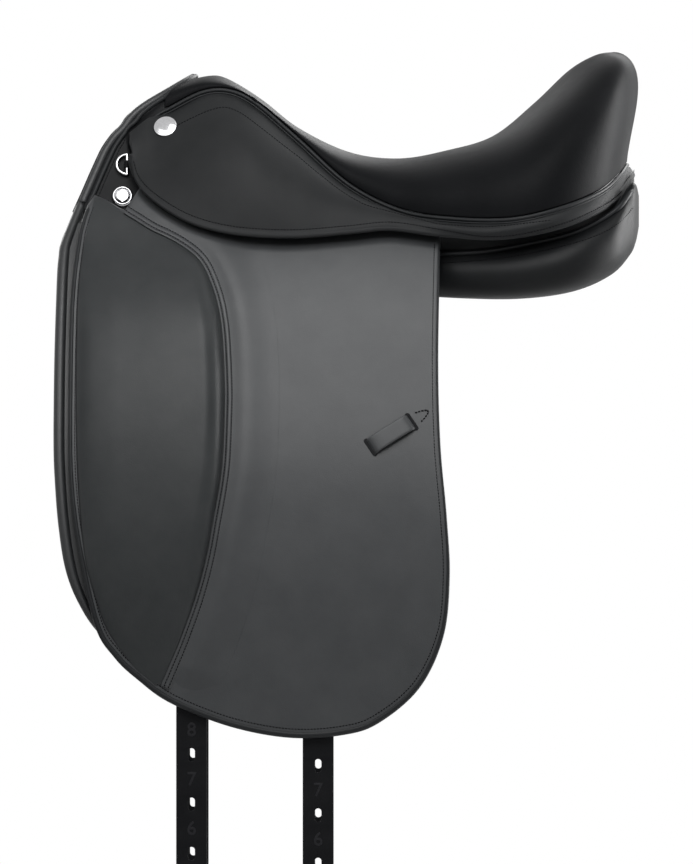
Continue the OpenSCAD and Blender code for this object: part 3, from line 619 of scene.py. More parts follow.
SKIRT_DROP = 2 * WELT_R + 8.5 * GAP
edge_low = below(np.array(SEAT_EDGE, float), SKIRT_DROP) + [0, 1, 0]
SKIRT_REAR_SHIFT = (2.5, 0, 2)
edge_low[-1] += SKIRT_REAR_SHIFT
SKIRT_TOP = [(-214, 83, POMMEL_Z - 54), (-197, 76, POMMEL_Z - 41)] + [tuple(p) for p in edge_low]
SKIRT_CLEAR = 9
SKIRT_D = FLAP_OUT + GAP + SKIRT_T + SKIRT_CLEAR
SKIRT_LOW = ([(-212, 101, 136)]
             + [tuple(on_layer(x, z, SKIRT_D)) for x, z in (
                 (-208, 115), (-192, 97), (-161, 77), (-128, 66), (-92, 61), (-50, 60), (0, 64), (40, 67),
                 (88, 60))]
             + [(146, 164, 56), (205, 162, 67), (248, 131, 86), (269, 81, 103), (278.5, 0, 121)])
SKIRT_BULGE = [2, 3, 6, 12, 19, 22, 19, 13, 9, 6, 4, 3, 1, 0, 0]
REAR_SWEEP = 1.5
LIP_H, LIP_W = 0.9, 1.8
skirt_a = smooth(SKIRT_TOP, FINE)
skirt_b = smooth(SKIRT_LOW, FINE)
skirt_c = smooth_values(SKIRT_BULGE, FINE)
rear = skirt_b[-FINE - 1:]
rear_share = (rear[:, 1:2] / rear[0, 1]) ** REAR_SWEEP
rear[:, ::2] = rear[-1, ::2] + rear_share * (rear[0, ::2] - rear[-1, ::2])


def skirt_point(i, v):
    """Point of the skirt: i counts along it, v runs from its top edge to its hem."""
    a, b = skirt_a[i], skirt_b[i]
    d = b - a
    out = unit([0, -d[2], max(d[1], 0)])
    lip = LIP_H * exp(-((1 - v) * np.linalg.norm(d) / LIP_W) ** 2)
    return a + v * d + (skirt_c[i] * sin(pi * v) + lip) * out


def skirt_line(rows, v_of):
    """Line across the skirt with its normals; v_of gives how far down it is on each row."""
    pts, nor = [], []
    for i in rows:
        v = min(max(v_of(i), 0.02), 0.98)
        lo, hi = max(i - 1, 0), min(i + 1, len(skirt_a) - 1)
        run = skirt_point(hi, v) - skirt_point(lo, v)
        n = unit(np.cross(run, skirt_point(i, v + 0.02) - skirt_point(i, v - 0.02)))
        n = -n if np.dot(n, [0.25, 1, 0.6]) < 0 else n
        pts.append(skirt_point(i, v))
        nor.append(n)
    return np.array(pts), np.array(nor)


skirt_v = np.concatenate([np.linspace(0, 0.9, 26)[:-1], np.linspace(0.9, 1, 9)])
skirt_rows = range(len(skirt_a))
skirt_grid = np.array([[skirt_point(i, v) for v in skirt_v] for i in skirt_rows])
skirt_grid[..., 1] = np.maximum(skirt_grid[..., 1], 0)
ARC_Z = [(-190, 156), (-172, 166), (-154, 175), (-138, 182), (-122, 185.4), (-107, 180), (-87, 165.4),
         (-67, 149.8), (-48, 135.2), (-37, 125.7), (0, 98), (49, 76), (107, 69.5), (136, 68.5), (198, 75.3),
         (215, 80)]
arc_rows = [i for i in skirt_rows if -172 < skirt_a[i][0] < 198]


def arc_share(i):
    """How far down the skirt its decorative row of stitches runs."""
    def short(v):
        p = skirt_point(i, v)
        return p[2] > curve(ARC_Z, p[0])

    return halved(0.02, 0.5, short)


def hem_share(i):
    """How far down the skirt its hem is sewn."""
    margin = np.interp(skirt_b[i][0], [40, 120], [5.2, 3.6])
    return 1 - max(margin / np.linalg.norm(skirt_b[i] - skirt_a[i]), 0.03)


pair("skirt_leather", shell(skirt_grid, SKIRT_T, (0, FAR, 400)), "leather", solids=["skirt"],
     look="skirt_leather")
sewn("skirt_stitches", skirt_line(skirt_rows[4:-4], hem_share), skirt_line(arc_rows, arc_share))

# Facing round the pommel, with its rolled front edge carried on down the sweat flap

FACING_HALF = [(0, 216), (36, 211), (57, 200), (69, 183), (77, 160), (88, 125), (98, 95), (102, 84)]
FACING_FRONT = [(60, -279), (85, -268.5), (104, -260), (118, -254), (138, -245), (147, -240.5), (161, -230.5),
                (168, -223), (178, -216), (189, -202), (201, -182), (216, -157)]
FACING_REAR = [(60, -205), (95, -195), (120, -202), (136, -212), (161, -219), (175, -204), (187, -189),
               (201, -174), (216, -150)]
FACING_T = 4
ROLL_R = 5.6
facing_half = np.array([(0, y, z) for y, z in smooth(FACING_HALF, 8)])
facing_line = np.concatenate([facing_half[::-1] * [1, -1, 1], facing_half[1:]])
facing_tangent = heading(facing_line)
TUCK_L, TUCK_IN = 34, 5


def facing_point(p, s):
    """Point of the facing on a row of its profile: s runs from its front edge to its rear edge."""
    x0, x1 = curve(FACING_FRONT, p[2]), curve(FACING_REAR, p[2])
    return np.array([x0 + s * (x1 - x0), p[1], p[2]])


def facing_tuck(p, t, q):
    """Point of the flange that goes on from the facing's rear edge under the skirt and seat."""
    return facing_point(p, 1) + [TUCK_L * q, TUCK_IN * t[2] * q ** 0.5, -TUCK_IN * abs(t[1]) * q ** 0.5]


def facing_at(d):
    """Line on the facing d behind its front edge, from the pommel down the off side, with its normals."""
    pts, nor = [], []
    for p, u in zip(facing_half, heading(facing_half)):
        w = curve(FACING_REAR, p[2]) - curve(FACING_FRONT, p[2])
        pts.append(facing_point(p, min(d / w, 0.98)))
        nor.append((-0.5, -u[2], u[1]))
    return np.array(pts), unit(nor)


facing_grid = np.array([[facing_point(p, s) for s in np.linspace(0, 1, 13)]
                        + [facing_tuck(p, t, q) for q in np.linspace(0.05, 1, 9)]
                        for p, t in zip(facing_line, facing_tangent)])
# The facing wears the darkened black leather: partly its own colour, partly painted shade.
piece("pommel_facing_leather", shell(facing_grid, FACING_T, (-200, 0, FAR)), "leather",
      solids=["pommel_facing"], look="facing_leather_painted_shade")

SWEAT_EDGE = [
    (-276, 68), (-283, 47), (-286, -3), (-288, -100), (-287, -178), (-278, -258), (-263, -300), (-238, -334),
    (-185, -378), (-117, FLAP_LOW_Z + 24), (-49, FLAP_LOW_Z + 14), (0, FLAP_LOW_Z + 18), (38, -390),
    (68, -340), (83, -286), (84, -227), (77, -139), (72, -42), (72, 40)]
SWEAT_TOP = [(72, 56), (-4, 63), (-185, 63), (-200, 74), (-268, 74)]
sweat_outline = np.concatenate([smooth(SWEAT_EDGE, 8), SWEAT_TOP])
sweat_front = [(z, x) for x, z in SWEAT_EDGE[8::-1]]
roll_sweat = [on_layer(curve(sweat_front, z) + ROLL_R - 0.4, z, 2.5) for z in range(52, -346, -12)]
roll_top = [facing_point(p, 0) + [0.8 * ROLL_R - 1, -1.5 if p[1] > 40 else 0, -1.5]
            for p in facing_half[:-3:3]]
roll_path = smooth([roll_top[0] - [0, 8, 0.3]] + roll_top + roll_sweat, 4)


def roll_size(u):
    """Size of the rolled edge, which thins out behind the flap's lower corner."""
    return ROLL_R * np.interp(u, [0, 0.3, 0.42, 0.86, 0.96, 1], [0.75, 0.8, 1, 1, 0.7, 0.2])


RIDGE_R, RIDGE_IN, FACING_SEAM_IN, FACING_SEAM_TOP = 2.6, 11.6, 17, 176
ridge, ridge_normal = facing_at(RIDGE_IN)
seam, seam_normal = facing_at(FACING_SEAM_IN)
lower = seam[:, 2] < FACING_SEAM_TOP
pair("sweat_leather", leather_sheet(sweat_outline, 0, SWEAT_T), "sweat_leather", solids=["sweat_flap"])
pair("front_roll", sweep(roll_path, taper(roll_path, roll_size, 2.0)), "sweat_leather")
pair("facing_piping", sweep(ridge + 0.4 * ridge_normal, taper(ridge, RIDGE_R, 1.0)), "welt_leather")
sewn("facing_stitches", (seam[lower], seam_normal[lower]))

# Main flaps: one leather from the fixed head over the fold to the free edge

FLAP_EDGE = [
    (-256, 90), (-262, 72), (-266, 52), (-272, -3), (-274, -100), (-273, -178), (-265, -243), (-248, -320),
    (-229, -351), (-207, -372), (-175, -395), (-117, FLAP_LOW_Z + 11), (-58, FLAP_LOW_Z),
    (-5, FLAP_LOW_Z + 3), (29, FLAP_LOW_Z + 15), (68, -380), (91, -330), (97, -272), (94, -213),
    (88, -143), (86, -60), (88, 52)]
HEAD_TOP = [(88, 66), (20, 72), (-40, 80), (-52, 78), (-132, 78), (-142, 94), (-194, 92), (-207, 80),
            (-223, 86), (-236, 94), (-249, 100)]
flap_line = smooth(FLAP_EDGE, 8)
flap_outline = np.concatenate([flap_line, HEAD_TOP])


def inset(line, d):
    """Line moved d to its left-hand side, in X and Z."""
    t = heading(line)
    return line + d * np.stack([-t[:, 1], t[:, 0]], axis=1)


def on_flap(line, d):
    return np.array([on_layer(x, z, d) for x, z in line]), np.array([layer_normal(z) for x, z in line])


def edge_size(u):
    """Size of the piping along the flap's edge: fullest below, slim behind."""
    return np.interp(u, [0, 0.28, 0.4, 0.6, 0.7, 0.8, 1], [2.2, 2.3, 3.3, 3.3, 2.2, 1.1, 1.0])


flap_u = along(flap_line)
piping_flat = resample(inset(flap_line, edge_size(flap_u)[:, None]), 5)
piping_size = edge_size(along(piping_flat))
piping_normal = [layer_normal(z) for x, z in piping_flat]
piping = np.array([on_layer(x, z, FLAP_OUT - 0.6 * r) for (x, z), r in zip(piping_flat, piping_size)])
stitch_in = np.interp(flap_u, [0, 0.28, 0.4, 0.6, 0.7, 1], [6.2, 6.4, 8.8, 8.8, 6.4, 5.7])
flap_stitch = on_flap(inset(flap_line, stitch_in[:, None]), FLAP_OUT)

# Knee blocks and the lapped, twice-sewn edge behind them

BLOCK_FRONT = [(-378, -189), (-372, -196), (-359, -211), (-324, -236), (-295, -247), (-256, -257.5),
               (-178, -265), (-100, -267), (-3, -265.5), (44, -260.5), (78, -253.5), (98, -249)]
LAP_LINE = [(-378, -184), (-361, -176.6), (-334, -165.4), (-293, -150.8), (-256, -140.8), (-223, -134.6),
            (-168, -125.5), (-119, -122.9), (-88, -122.5), (-39, -124.8), (-20, -127), (-2, -130.7),
            (16, -136.8), (29, -142.7), (39, -150.2), (48, -161.4), (57, -176.5), (65, -193.5),
            (74, -208), (82, -221), (90, -232), (98, -246)]
BLOCK_EASE = [(-378, 0), (-360, 0.1), (-330, 0.32), (-280, 0.6), (-200, 0.88), (-120, 0.99), (-60, 1),
              (-35, 0.95), (-10, 0.8), (20, 0.5), (44, 0.2), (60, 0.07), (78, 0.02), (98, 0)]
BLOCK_WALL, BLOCK_FOLD, BLOCK_SUNK, LAP_OVER = 22, 40, 1.2, 0.6


def block_span(z):
    """Front of the knee block at a height, and its width."""
    x0 = curve(BLOCK_FRONT, z)
    return x0, max(curve(LAP_LINE, z) + LAP_OVER - x0, 1)


def block_point(z, u, h):
    x0, wide = block_span(z)
    return on_layer(x0 + u * wide, z, FLAP_OUT + h)


def block_height(z, u):
    """Wedge that rises from the front fold and drops steeply to the lapped edge."""
    wide = block_span(z)[1]
    wall = min((1 - u) * wide / min(BLOCK_WALL, 0.4 * wide), 1)
    front = min(u * wide / min(BLOCK_FOLD, 0.55 * wide), 1)
    face = 0.72 * sqrt(max(1 - (1 - front) ** 2, 0)) + 0.28 * sin(pi / 2 * u)
    return 0.3 + BLOCK_CROWN * max(curve(BLOCK_EASE, z), 0) * face * sqrt(max(1 - (1 - wall) ** 2, 0))


block_z = np.concatenate([np.linspace(98, 10, 40)[:-1], np.linspace(10, -320, 67)[:-1],
                          np.linspace(-320, -378, 24)])
block_u = np.concatenate([0.5 - 0.5 * np.cos(np.linspace(0, 0.62 * pi, 34)), np.linspace(0.69, 0.86, 8)[1:],
                          0.86 + 0.14 * np.sin(np.linspace(0, pi / 2, 20))[1:]])
block_top = np.array([[block_point(z, u, block_height(z, u)) for u in block_u] for z in block_z])
block_low = np.array([[block_point(z, u, -BLOCK_SUNK) for u in block_u] for z in block_z])

LAP_ROWS, LAP_STEP_END = (3.3, 7.8), 9
lap_edge = resample([(curve(LAP_LINE, z), z) for z in np.linspace(82, -378, 200)], 3)
LAP_SECTION = [
    (0, -2.6), (0, 1.1), (0.25, 1.9), (0.8, 2.35), (1.6, 2.45), (2.5, 2.3), (2.9, 1.9), (3.3, 1.75),
    (3.7, 1.9), (4.1, 2.3), (4.9, 2.45), (6.2, 2.45), (7.0, 2.3), (7.4, 1.9), (7.8, 1.75), (8.2, 1.8),
    (9, 1.9), (10.5, 2.05), (12, 2.3), (14, 2.7), (16.5, 3.1), (19, 3.3), (22, 3.35), (26, 3.05),
    (30, 2.5), (35, 1.75), (40, 1.05), (45, 0.5), (49, 0.2), (53, 0.02), (57, -0.12),
    (61, -0.3), (66, -0.7), (72, -1.3), (72, -2.6)]
lap_fade = np.clip((1 - along(lap_edge)) * 20, 0, 1)
lap_rows = []
for reach, height in LAP_SECTION:
    level = np.full(len(lap_edge), height)
    if reach > LAP_STEP_END and height > -1:
        level = lap_fade * height - BLOCK_SUNK * (1 - lap_fade)
    lap_rows.append([on_layer(x, z, FLAP_OUT + h) for (x, z), h in zip(inset(lap_edge, reach), level)])
lap_grid = np.array(lap_rows).transpose(1, 0, 2)
lap = (lap_grid.reshape(-1, 3), tube_faces(*lap_grid.shape[:2]))
lap_stitch = [on_flap(inset(lap_edge, d), FLAP_OUT + 1.8) for d in LAP_ROWS]
on_fold = {"body": "flap", "bend": FOLD}
pair("flap_leather", leather_sheet(flap_outline, FLAP_D, FLAP_OUT), "leather", solids=["flap", "flap_head"],
     **on_fold)
pair("flap_piping", sweep(piping, taper(piping, edge_size), piping_normal), "welt_leather", **on_fold)
sewn("flap_stitches", flap_stitch, **on_fold)
# The knee pads take the darkened copy of the flap leather: painted shade.
pair("knee_pad", closed_pad(block_top, block_low), "leather", solids=["knee_block"], look="block_leather_painted_shade",
     fill=0.9, **on_fold)
pair("sewn_welt", lap, "leather", solids=["flap_welt"], **on_fold)
sewn("welt_stitches", *lap_stitch, **on_fold)

# Panels, their gussets and the webs inside

PANEL_LINE = [
    (-226, 64, 90, 10, 5, 58), (-214, 61, 88, 24, 10, 55), (-180, 56, 78, 37, 13, 50),
    (-120, 62, 60, 41, 17, 42), (-40, 70, 42, 43, 20, 30), (40, 75, 33, 44, 23, 22),
    (110, 94, 30, 50, 26, 17), (170, 104, 31, 55, 28, 14), (220, 106, 40, 53, 31, 12),
    (255, 98, 55, 43, 32, 10), (273, 88, 75, 28, 34, 8), (279, 85, 82, 19, 28, 8), (282, 82, 84, 8, 15, 8)]
panel_fine = smooth(PANEL_LINE, 8)


def row_at(table, x):
    """Row of a table at x, with each column on its own curve."""
    return [curve([(r[0], r[q]) for r in table], x) for q in range(len(table[0]))]


def panel_point(r, a, grow=0.0):
    """Point on the panel's section r at an angle in degrees, grown outwards."""
    c, s, lean = cos(radians(a)), sin(radians(a)), radians(r[5])
    u = (r[3] + grow) * copysign(abs(c) ** 0.8, c)
    w = (r[4] + grow) * copysign(abs(s) ** 0.8, s)
    y = r[1] + u * cos(lean) + w * sin(lean)
    return np.array([r[0], y, r[2] - u * sin(lean) + w * cos(lean)])


PANEL_SIDES = 56
panel_rings = [[panel_point(r, 360 * q / PANEL_SIDES) for q in range(PANEL_SIDES)] for r in panel_fine]
panel_part = (np.array(panel_rings).reshape(-1, 3), tube_faces(len(panel_rings), PANEL_SIDES))
RAIL_LINE = [(-112, 57, 160, 58), (-60, 61, 133, 46), (0, 73, 108, 33), (60, 93, 95, 22), (120, 113, 97, 14),
             (172, 121, 104, 8)]
RAIL_HALF_W, TREE_T = 18, 9
rail_fine = smooth(RAIL_LINE, 6)


def panel_top(x, y):
    """Height of the panel's upper face at a place across it."""
    p = row_at(PANEL_LINE, x)
    lean = radians(p[5])
    u = 0.0
    for _ in range(6):
        rise = p[4] * max(1 - min(abs(u) / p[3], 1) ** 2.5, 0) ** 0.4
        u = (y - p[1] - rise * sin(lean)) / cos(lean)
    return p[2] - u * sin(lean) + rise * cos(lean)


GUSSET_IN = 8
gusset_rows = []
for r in rail_fine[8:-4]:
    lean = radians(r[3])
    under = TREE_T / 2 + 2 * GAP
    y = r[1] - GUSSET_IN * cos(lean) - under * sin(lean)
    top = r[2] + GUSSET_IN * sin(lean) - under * cos(lean)
    foot = panel_top(r[0], y) + GAP
    gusset_rows.append([(r[0], y + 1.5 + 1.2 * sin(pi * v), foot + v * (top - foot))
                        for v in np.linspace(0, 1, 9)])

WEB_X, WEB_HALF, WEB_T = (48, 90, 132), 18, 2
web_parts = []
for x in WEB_X:
    rows = []
    for across in np.linspace(x - WEB_HALF, x + WEB_HALF, 13):
        r = row_at(RAIL_LINE, across)
        lean = radians(r[3])
        y = r[1] - RAIL_HALF_W * cos(lean) + 4
        z = r[2] + RAIL_HALF_W * sin(lean) + TREE_T / 2 * cos(lean) + GAP + WEB_T
        rows.append([(across, y * s, z) for s in np.linspace(-1, 1, 15)])
    web_parts.append(shell(rows, WEB_T, (x, 0, FAR), 2))
piece("seat_webs", join(web_parts), "webbing", solids=["seat_webbing"])

FRONT_X, REAR_X = -154, -31
FRONT_HOLE_Z, REAR_HOLE_Z = -445.5, -456
TAIL_Z, BILLET_TOP_Z = -433, 58
ARCH_FOOT = (90, 98)
GIRTH_WEB_PAST = 21
web_low = np.array([layer_y(BILLET_TOP_Z + GAP, BILLET_D) + BILLET_T, BILLET_TOP_Z + GAP])
web_high = np.array([ARCH_FOOT[0] + 2 * GAP + BILLET_T, ARCH_FOOT[1] + 1])
girth_rows = [[(x, *(web_low + v * (web_high - web_low))) for v in np.linspace(0, 1, 9)]
              for x in np.linspace(FRONT_X - GIRTH_WEB_PAST, REAR_X + GIRTH_WEB_PAST, 40)]
PIPING_Z = [(60, 41), (84, 41), (128, 43.2), (170, 50), (217, 61.1), (245, 74), (262, 86), (272, 99),
            (278, 107)]
ROW_Z = [(60, 33), (84, 33), (128, 35.8), (170, 41.5), (217, 52.2), (245, 62), (262, 72), (272, 82),
         (278, 90)]


def panel_rise(table, grow):
    """Line on the panel's outer shoulder at heights from a table, with its normals."""
    pts, nor = [], []
    for x in np.linspace(64, 276, 70):
        r = row_at(PANEL_LINE, x)
        a = halved(0.0, 90.0, lambda a: panel_point(r, a)[2] < curve(table, x))
        pts.append(panel_point(r, a, grow))
        nor.append(panel_point(r, a, grow + 1) - panel_point(r, a, grow))
    return np.array(pts), unit(nor)


piping_line = panel_rise(PIPING_Z, 1.2)
panel_row = panel_rise(ROW_Z, 0.1)
WALL_IN, WALL_UP = 11, 9
wall_rows = []
for p, n in zip(*panel_rise(PIPING_Z, 0)):
    y, z = (np.interp(p[0], skirt_b[:, 0], skirt_b[:, c]) for c in (1, 2))
    top = np.array([p[0] + np.interp(p[0], [266, 276], [0, 2]), y - WALL_IN, z + WALL_UP])
    foot = p - 2 * n
    wall_rows.append([foot + v * (top - foot) - [0, 3 * sin(pi * v), 0] for v in np.linspace(0, 1, 9)])
pair("panel_pad", panel_part, "panel_leather", solids=["panel"], fill=0.9)
pair("panel_welts", sweep(piping_line[0], taper(piping_line[0], 2.6, 8.0), piping_line[1]), "welt_leather")
sewn("panel_stitches", panel_row, slot="panel_leather")
pair("rear_gusset", shell(wall_rows, 2, (150, FAR, 60)), "panel_leather")
pair("gusset_leather", shell(gusset_rows, 3, (0, FAR, 60)), "panel_leather", solids=["panel_gusset"])
pair("girth_webbing", shell(girth_rows, BILLET_T, (0, FAR, 400)), "webbing", solids=["girth_web"])


# Girth straps

def mesh_of(name, data):
    """Points and faces of a curve or text, which is then removed."""
    obj = linked(name, data)
    bpy.context.view_layer.update()
    me = obj.evaluated_get(bpy.context.evaluated_depsgraph_get()).to_mesh()
    part = (np.array([v.co[:] for v in me.vertices]), [tuple(p.vertices) for p in me.polygons])
    bpy.data.objects.remove(obj)
    bpy.data.curves.remove(data)
    return part


def plate(outlines, t, bevel):
    """Flat plate with rounded edges from an outline and its holes, t thick from Z = 0 up."""
    c = bpy.data.curves.new("plate", "CURVE")
    c.dimensions = "2D"
    c.fill_mode = "BOTH"
    c.extrude = t / 2 - bevel
    c.bevel_depth = bevel
    c.bevel_resolution = 2
    c.offset = -bevel
    for line in outlines:
        s = c.splines.new("POLY")
        s.points.add(len(line) - 1)
        for p, (x, y) in zip(s.points, line):
            p.co = (x, y, 0, 1)
        s.use_cyclic_u = True
    v, f = mesh_of("plate", c)
    return v + [0, 0, t / 2], f


def number(text, size):
    c = bpy.data.curves.new("number", "FONT")
    c.body = text
    c.size = size
    c.align_x = "CENTER"
    c.align_y = "CENTER"
    c.extrude = 0.2
    c.bevel_depth = 0.25
    return mesh_of("number", c)


def arc(cx, cy, r, a0, a1, n=16):
    angles = np.radians(np.linspace(a0, a1, n))
    return [(cx + r * cos(a), cy + r * sin(a)) for a in angles]


def upright(part, x, z, y):
    """Part drawn in X and Y, stood up to face outwards with its base at y; the near side mirrors it."""
    v, f = part
    return np.stack([v[:, 0] + x, v[:, 2] + y, v[:, 1] + z], axis=1), f


def long_hole(x, y, w, length):
    half = (length - w) / 2
    return arc(x, y + half, w / 2, 0, 180) + arc(x, y - half, w / 2, 180, 360)


BILLET_Y = BARREL_HALF_W + BILLET_D + BILLET_T / 2
W2 = BILLET_W / 2
STRAP_SECTION = [
    (-W2, 1), (-W2 + 0.4, 0.3), (-W2 + 1, 0), (W2 - 1, 0), (W2 - 0.4, 0.3), (W2, 1), (W2, 3), (W2 - 0.4, 3.7),
    (W2 - 1, 4), (-W2 + 1, 4), (-W2 + 0.4, 3.7), (-W2, 3)]
DIGIT_SIZE, DIGIT_SUNK = 18.5, 0.2
JOIN_Z = -398
BILLET_BEND = (BILLET_Y, TAIL_Z, 8)
BILLETS = (("front", FRONT_X, FRONT_HOLE_Z, 8, -0.5), ("rear", REAR_X, REAR_HOLE_Z, 7, 0.5))
for end, x, first, mark, drop in BILLETS:
    root_path, ups = on_flap([(x, z) for z in np.linspace(BILLET_TOP_Z, JOIN_Z, 90)], BILLET_D)
    pair(f"{end}_strap_leather", sweep(root_path, STRAP_SECTION, ups), "strap_leather",
         solids=[f"{end}_strap"])
    tip = first - (HOLE_COUNT - 1) * HOLE_PITCH - BILLET_TIP
    down = np.concatenate([np.linspace(JOIN_Z, TAIL_Z - 20, 29), np.linspace(TAIL_Z - 30, tip + W2 + 10, 24)])
    outline = [(W2, z) for z in down[::-1]] + [(-W2, z) for z in down] + arc(0, tip + W2, W2, 180, 360, 24)
    holes = [long_hole(0, first - q * HOLE_PITCH, HOLE_W, HOLE_L) for q in range(HOLE_COUNT)]
    strap = upright(plate([outline] + holes, BILLET_T, 0.7), x, 0, BILLET_Y - BILLET_T / 2)
    pair(f"{end}_billet_leather", strap, "strap_leather", f"{end}_billet", [f"{end}_billet"],
         bend=BILLET_BEND)
    for side, k in SIDES:
        digits = []
        for q in range(HOLE_COUNT):
            v, f = number(str(mark - q), DIGIT_SIZE)
            z = first - (q + drop) * HOLE_PITCH
            digits.append(upright((v * [-k, 1, 1], f), x, z, BILLET_Y + BILLET_T / 2 - DIGIT_SUNK))
        piece(f"{side}_{end}_billet_numbers", join(digits), "strap_leather", f"{side}_{end}_billet", k,
              look="pressed_number", bend=BILLET_BEND)

# Keepers

KEEPER_X, KEEPER_Z, KEEPER_TURN, KEEPER_W, KEEPER_L, KEEPER_T = 40, -134, 33, 17, 47.5, 2.2
# The keeper's slots are flat dark plates, painted shade for the shadowed holes, not holes cut in the flap.
SLOT_SHADE_W, SLOT_SHADE_L, SLOT_SHADE_T = 5.2, 20.4, 0.6
LOOP_Z, LOOP_H, LOOP_FOOT, LOOP_T = -150, 20, 8, 1.8


def at_keeper(part):
    """Part drawn with X along the keeper, Y across it and Z outwards, set on the flap at its slant."""
    v, f = part
    t = radians(KEEPER_TURN)
    out = layer_normal(KEEPER_Z)
    along_z = np.array([0, -out[2], out[1]])
    x_dir = [cos(t), 0, 0] + sin(t) * along_z
    y_dir = [-sin(t), 0, 0] + cos(t) * along_z
    origin = on_layer(KEEPER_X, KEEPER_Z, FLAP_OUT + GAP)
    return origin + v[:, :1] * x_dir + v[:, 1:2] * y_dir + v[:, 2:] * out, f


half = KEEPER_L / 2
keeper_half = [(half + 0.4, -1.6), (half - 0.9, 0.8), (half - 2.2, 2.6), (half - 5, 4.2), (half - 12, 5.0)]
keeper_line = smooth([(-x, h) for x, h in keeper_half] + [(0, 5.2)] + keeper_half[::-1], 6)
keeper_across = np.linspace(-KEEPER_W / 2 + 0.9, KEEPER_W / 2 - 0.9, 11)
keeper_rows = [[(x, y, h) for y in keeper_across] for x, h in keeper_line]
TAB_SEAM = [(7.4, 6), (14, 4.4), (20.6, 1.2), (19.2, -0.6), (14, -3.2), (7.4, -5)]
tab_stitch = resample([(half + x, y) for x, y in TAB_SEAM], 1.6)


def slot_shade_plate(x):
    """Flat dark plate on the flap, painted shade in place of the shadowed slot that one end of the keeper
    goes down into.
    """
    v, f = plate([long_hole(x, 0, SLOT_SHADE_W, SLOT_SHADE_L)], SLOT_SHADE_T, 0.2)
    return at_keeper((v - [0, 0, SLOT_SHADE_T], f))


tab_points, _ = at_keeper((np.array([(x, y, -GAP) for x, y in tab_stitch]), []))
tab_normals = np.tile(layer_normal(KEEPER_Z), (len(tab_points), 1))
loop_half = BILLET_W / 2 + GAP
loop_low = BILLET_D + LOOP_T
loop_top = BILLET_D + BILLET_T + GAP + LOOP_T
loop_side = [(loop_half - 0.8, loop_top), (loop_half + 0.6, loop_low + 2.2), (loop_half + 3, loop_low),
             (loop_half + LOOP_FOOT, loop_low)]
loop_line = smooth([(-x, d) for x, d in loop_side[::-1]] + [(0, loop_top)] + loop_side, 5)
loop_across = np.linspace(LOOP_Z - LOOP_H / 2 + 1, LOOP_Z + LOOP_H / 2 - 1, 9)
loop_rows = [[on_layer(REAR_X + x, z, d) for z in loop_across] for x, d in loop_line]
pair("keeper_leather", at_keeper(shell(keeper_rows, KEEPER_T, (0, 0, 90))), "strap_leather", "flap",
     ["leather_keeper"], look="flap_leather")
# Dark plates at both ends of the keeper: painted shade for the shadowed slots.
pair("keeper_slot_shade_plates", join([slot_shade_plate(-half), slot_shade_plate(half)]), "strap_leather", "flap")
tab_thread = stitch_row(tab_points, tab_normals, pitch=3.3, r=0.75)
pair("keeper_stitches", tab_thread, "strap_leather", "flap", look="thread")
pair("strap_loop", shell(loop_rows, LOOP_T, (REAR_X, FAR, LOOP_Z)), "strap_leather",
     solids=["billet_keeper"])

# Metal fittings on the facing and skirts

facing_down = [(z, y) for _, y, z in facing_half[::-1]]
DEE_X, DEE_Z, FITTING_LEAN, WIRE_R = -217.5, 128.7, 18, 1.4
SCREW_X, SCREW_Z, CUP_R, SCREW_R = -222, 98, 10.5, 7
CHAPE_WALL, CHAPE_W, CHAPE_TAIL = 1.4, 7, 13
lean = radians(FITTING_LEAN)
fitting_out = np.array([0, cos(lean), sin(lean)])


def on_facing(x, z):
    return np.array([x, curve(facing_down, z) + 2 * GAP, z])


def inwards(r, *rows):
    """Profile points given by how far they lie inside a radius, and their height."""
    return [(r - d, h) for d, h in rows]


CUP = ([(2.5, 0.2)] + inwards(CUP_R, (0.5, 0.2), (0, 0.8), (0.1, 1.8), (0.9, 3.3), (1.6, 3.9), (2.2, 4.0))
       + [(SCREW_R + 0.8, 3.4), (SCREW_R + 0.5, 1.6), (2.5, 1.6)])
NAIL_R, NAIL_SHANK = 11.5, 2
NAIL = ([(0.3, -NAIL_SHANK), (1.5, -NAIL_SHANK), (1.5, 0)]
        + inwards(NAIL_R, (0.6, 0), (0.1, 0.4), (0, 0.9), (0.4, 1.5), (1.2, 1.9), (1.9, 1.7), (2.4, 1.9),
                  (4.5, 2.5))
        + [(4, 2.85), (2, 2.97), (0.3, 3.0)])
NAIL_ROW, NAIL_SHARE, NAIL_TURN = 2 * FINE, 0.2, 0.45
nail_at, nail_out = skirt_line([NAIL_ROW], lambda i: NAIL_SHARE)
nail_out = unit(nail_out[0] + [0, NAIL_TURN, 0])


def both_turned(profile, at, out):
    """Turned form on both sides of the saddle."""
    v, f = placed(lathe(profile), at, out)
    return join([(v * [1, k, 1], f) for _, k in SIDES])


cups = both_turned(CUP, on_facing(SCREW_X, SCREW_Z), fitting_out)
piece("cup_washers", cups, "chrome", solids=["screw_cups"])
nails = both_turned(NAIL, nail_at[0] + (NAIL_SHANK + GAP) * nail_out, nail_out)
piece("nail_heads", nails, "chrome", solids=["pommel_nails"])
chape_base = WIRE_R + CHAPE_WALL + 0.1
turn = [(chape_base * sin(radians(a)), chape_base * (1 - cos(radians(a))))
        for a in np.linspace(-20, -340, 40)]
tail = [(x, CHAPE_WALL) for x in np.linspace(2.4, CHAPE_TAIL, 10)]
chape_at = on_facing(DEE_X, DEE_Z)
chape_up = np.array([0, -sin(lean), cos(lean)])
chape_across = np.linspace(-CHAPE_W / 2 + 0.5, CHAPE_W / 2 - 0.5, 7)


def chape(line):
    """Leather of the chape along a line of (x, height) points."""
    rows = [[chape_at + [x, 0, 0] + h * fitting_out + s * chape_up for s in chape_across] for x, h in line]
    return shell(rows, CHAPE_WALL - 0.2, chape_at + 90 * fitting_out)


pair("dee_strap", join([chape(turn), chape(tail)]), "strap_leather", solids=["dee_chape"])

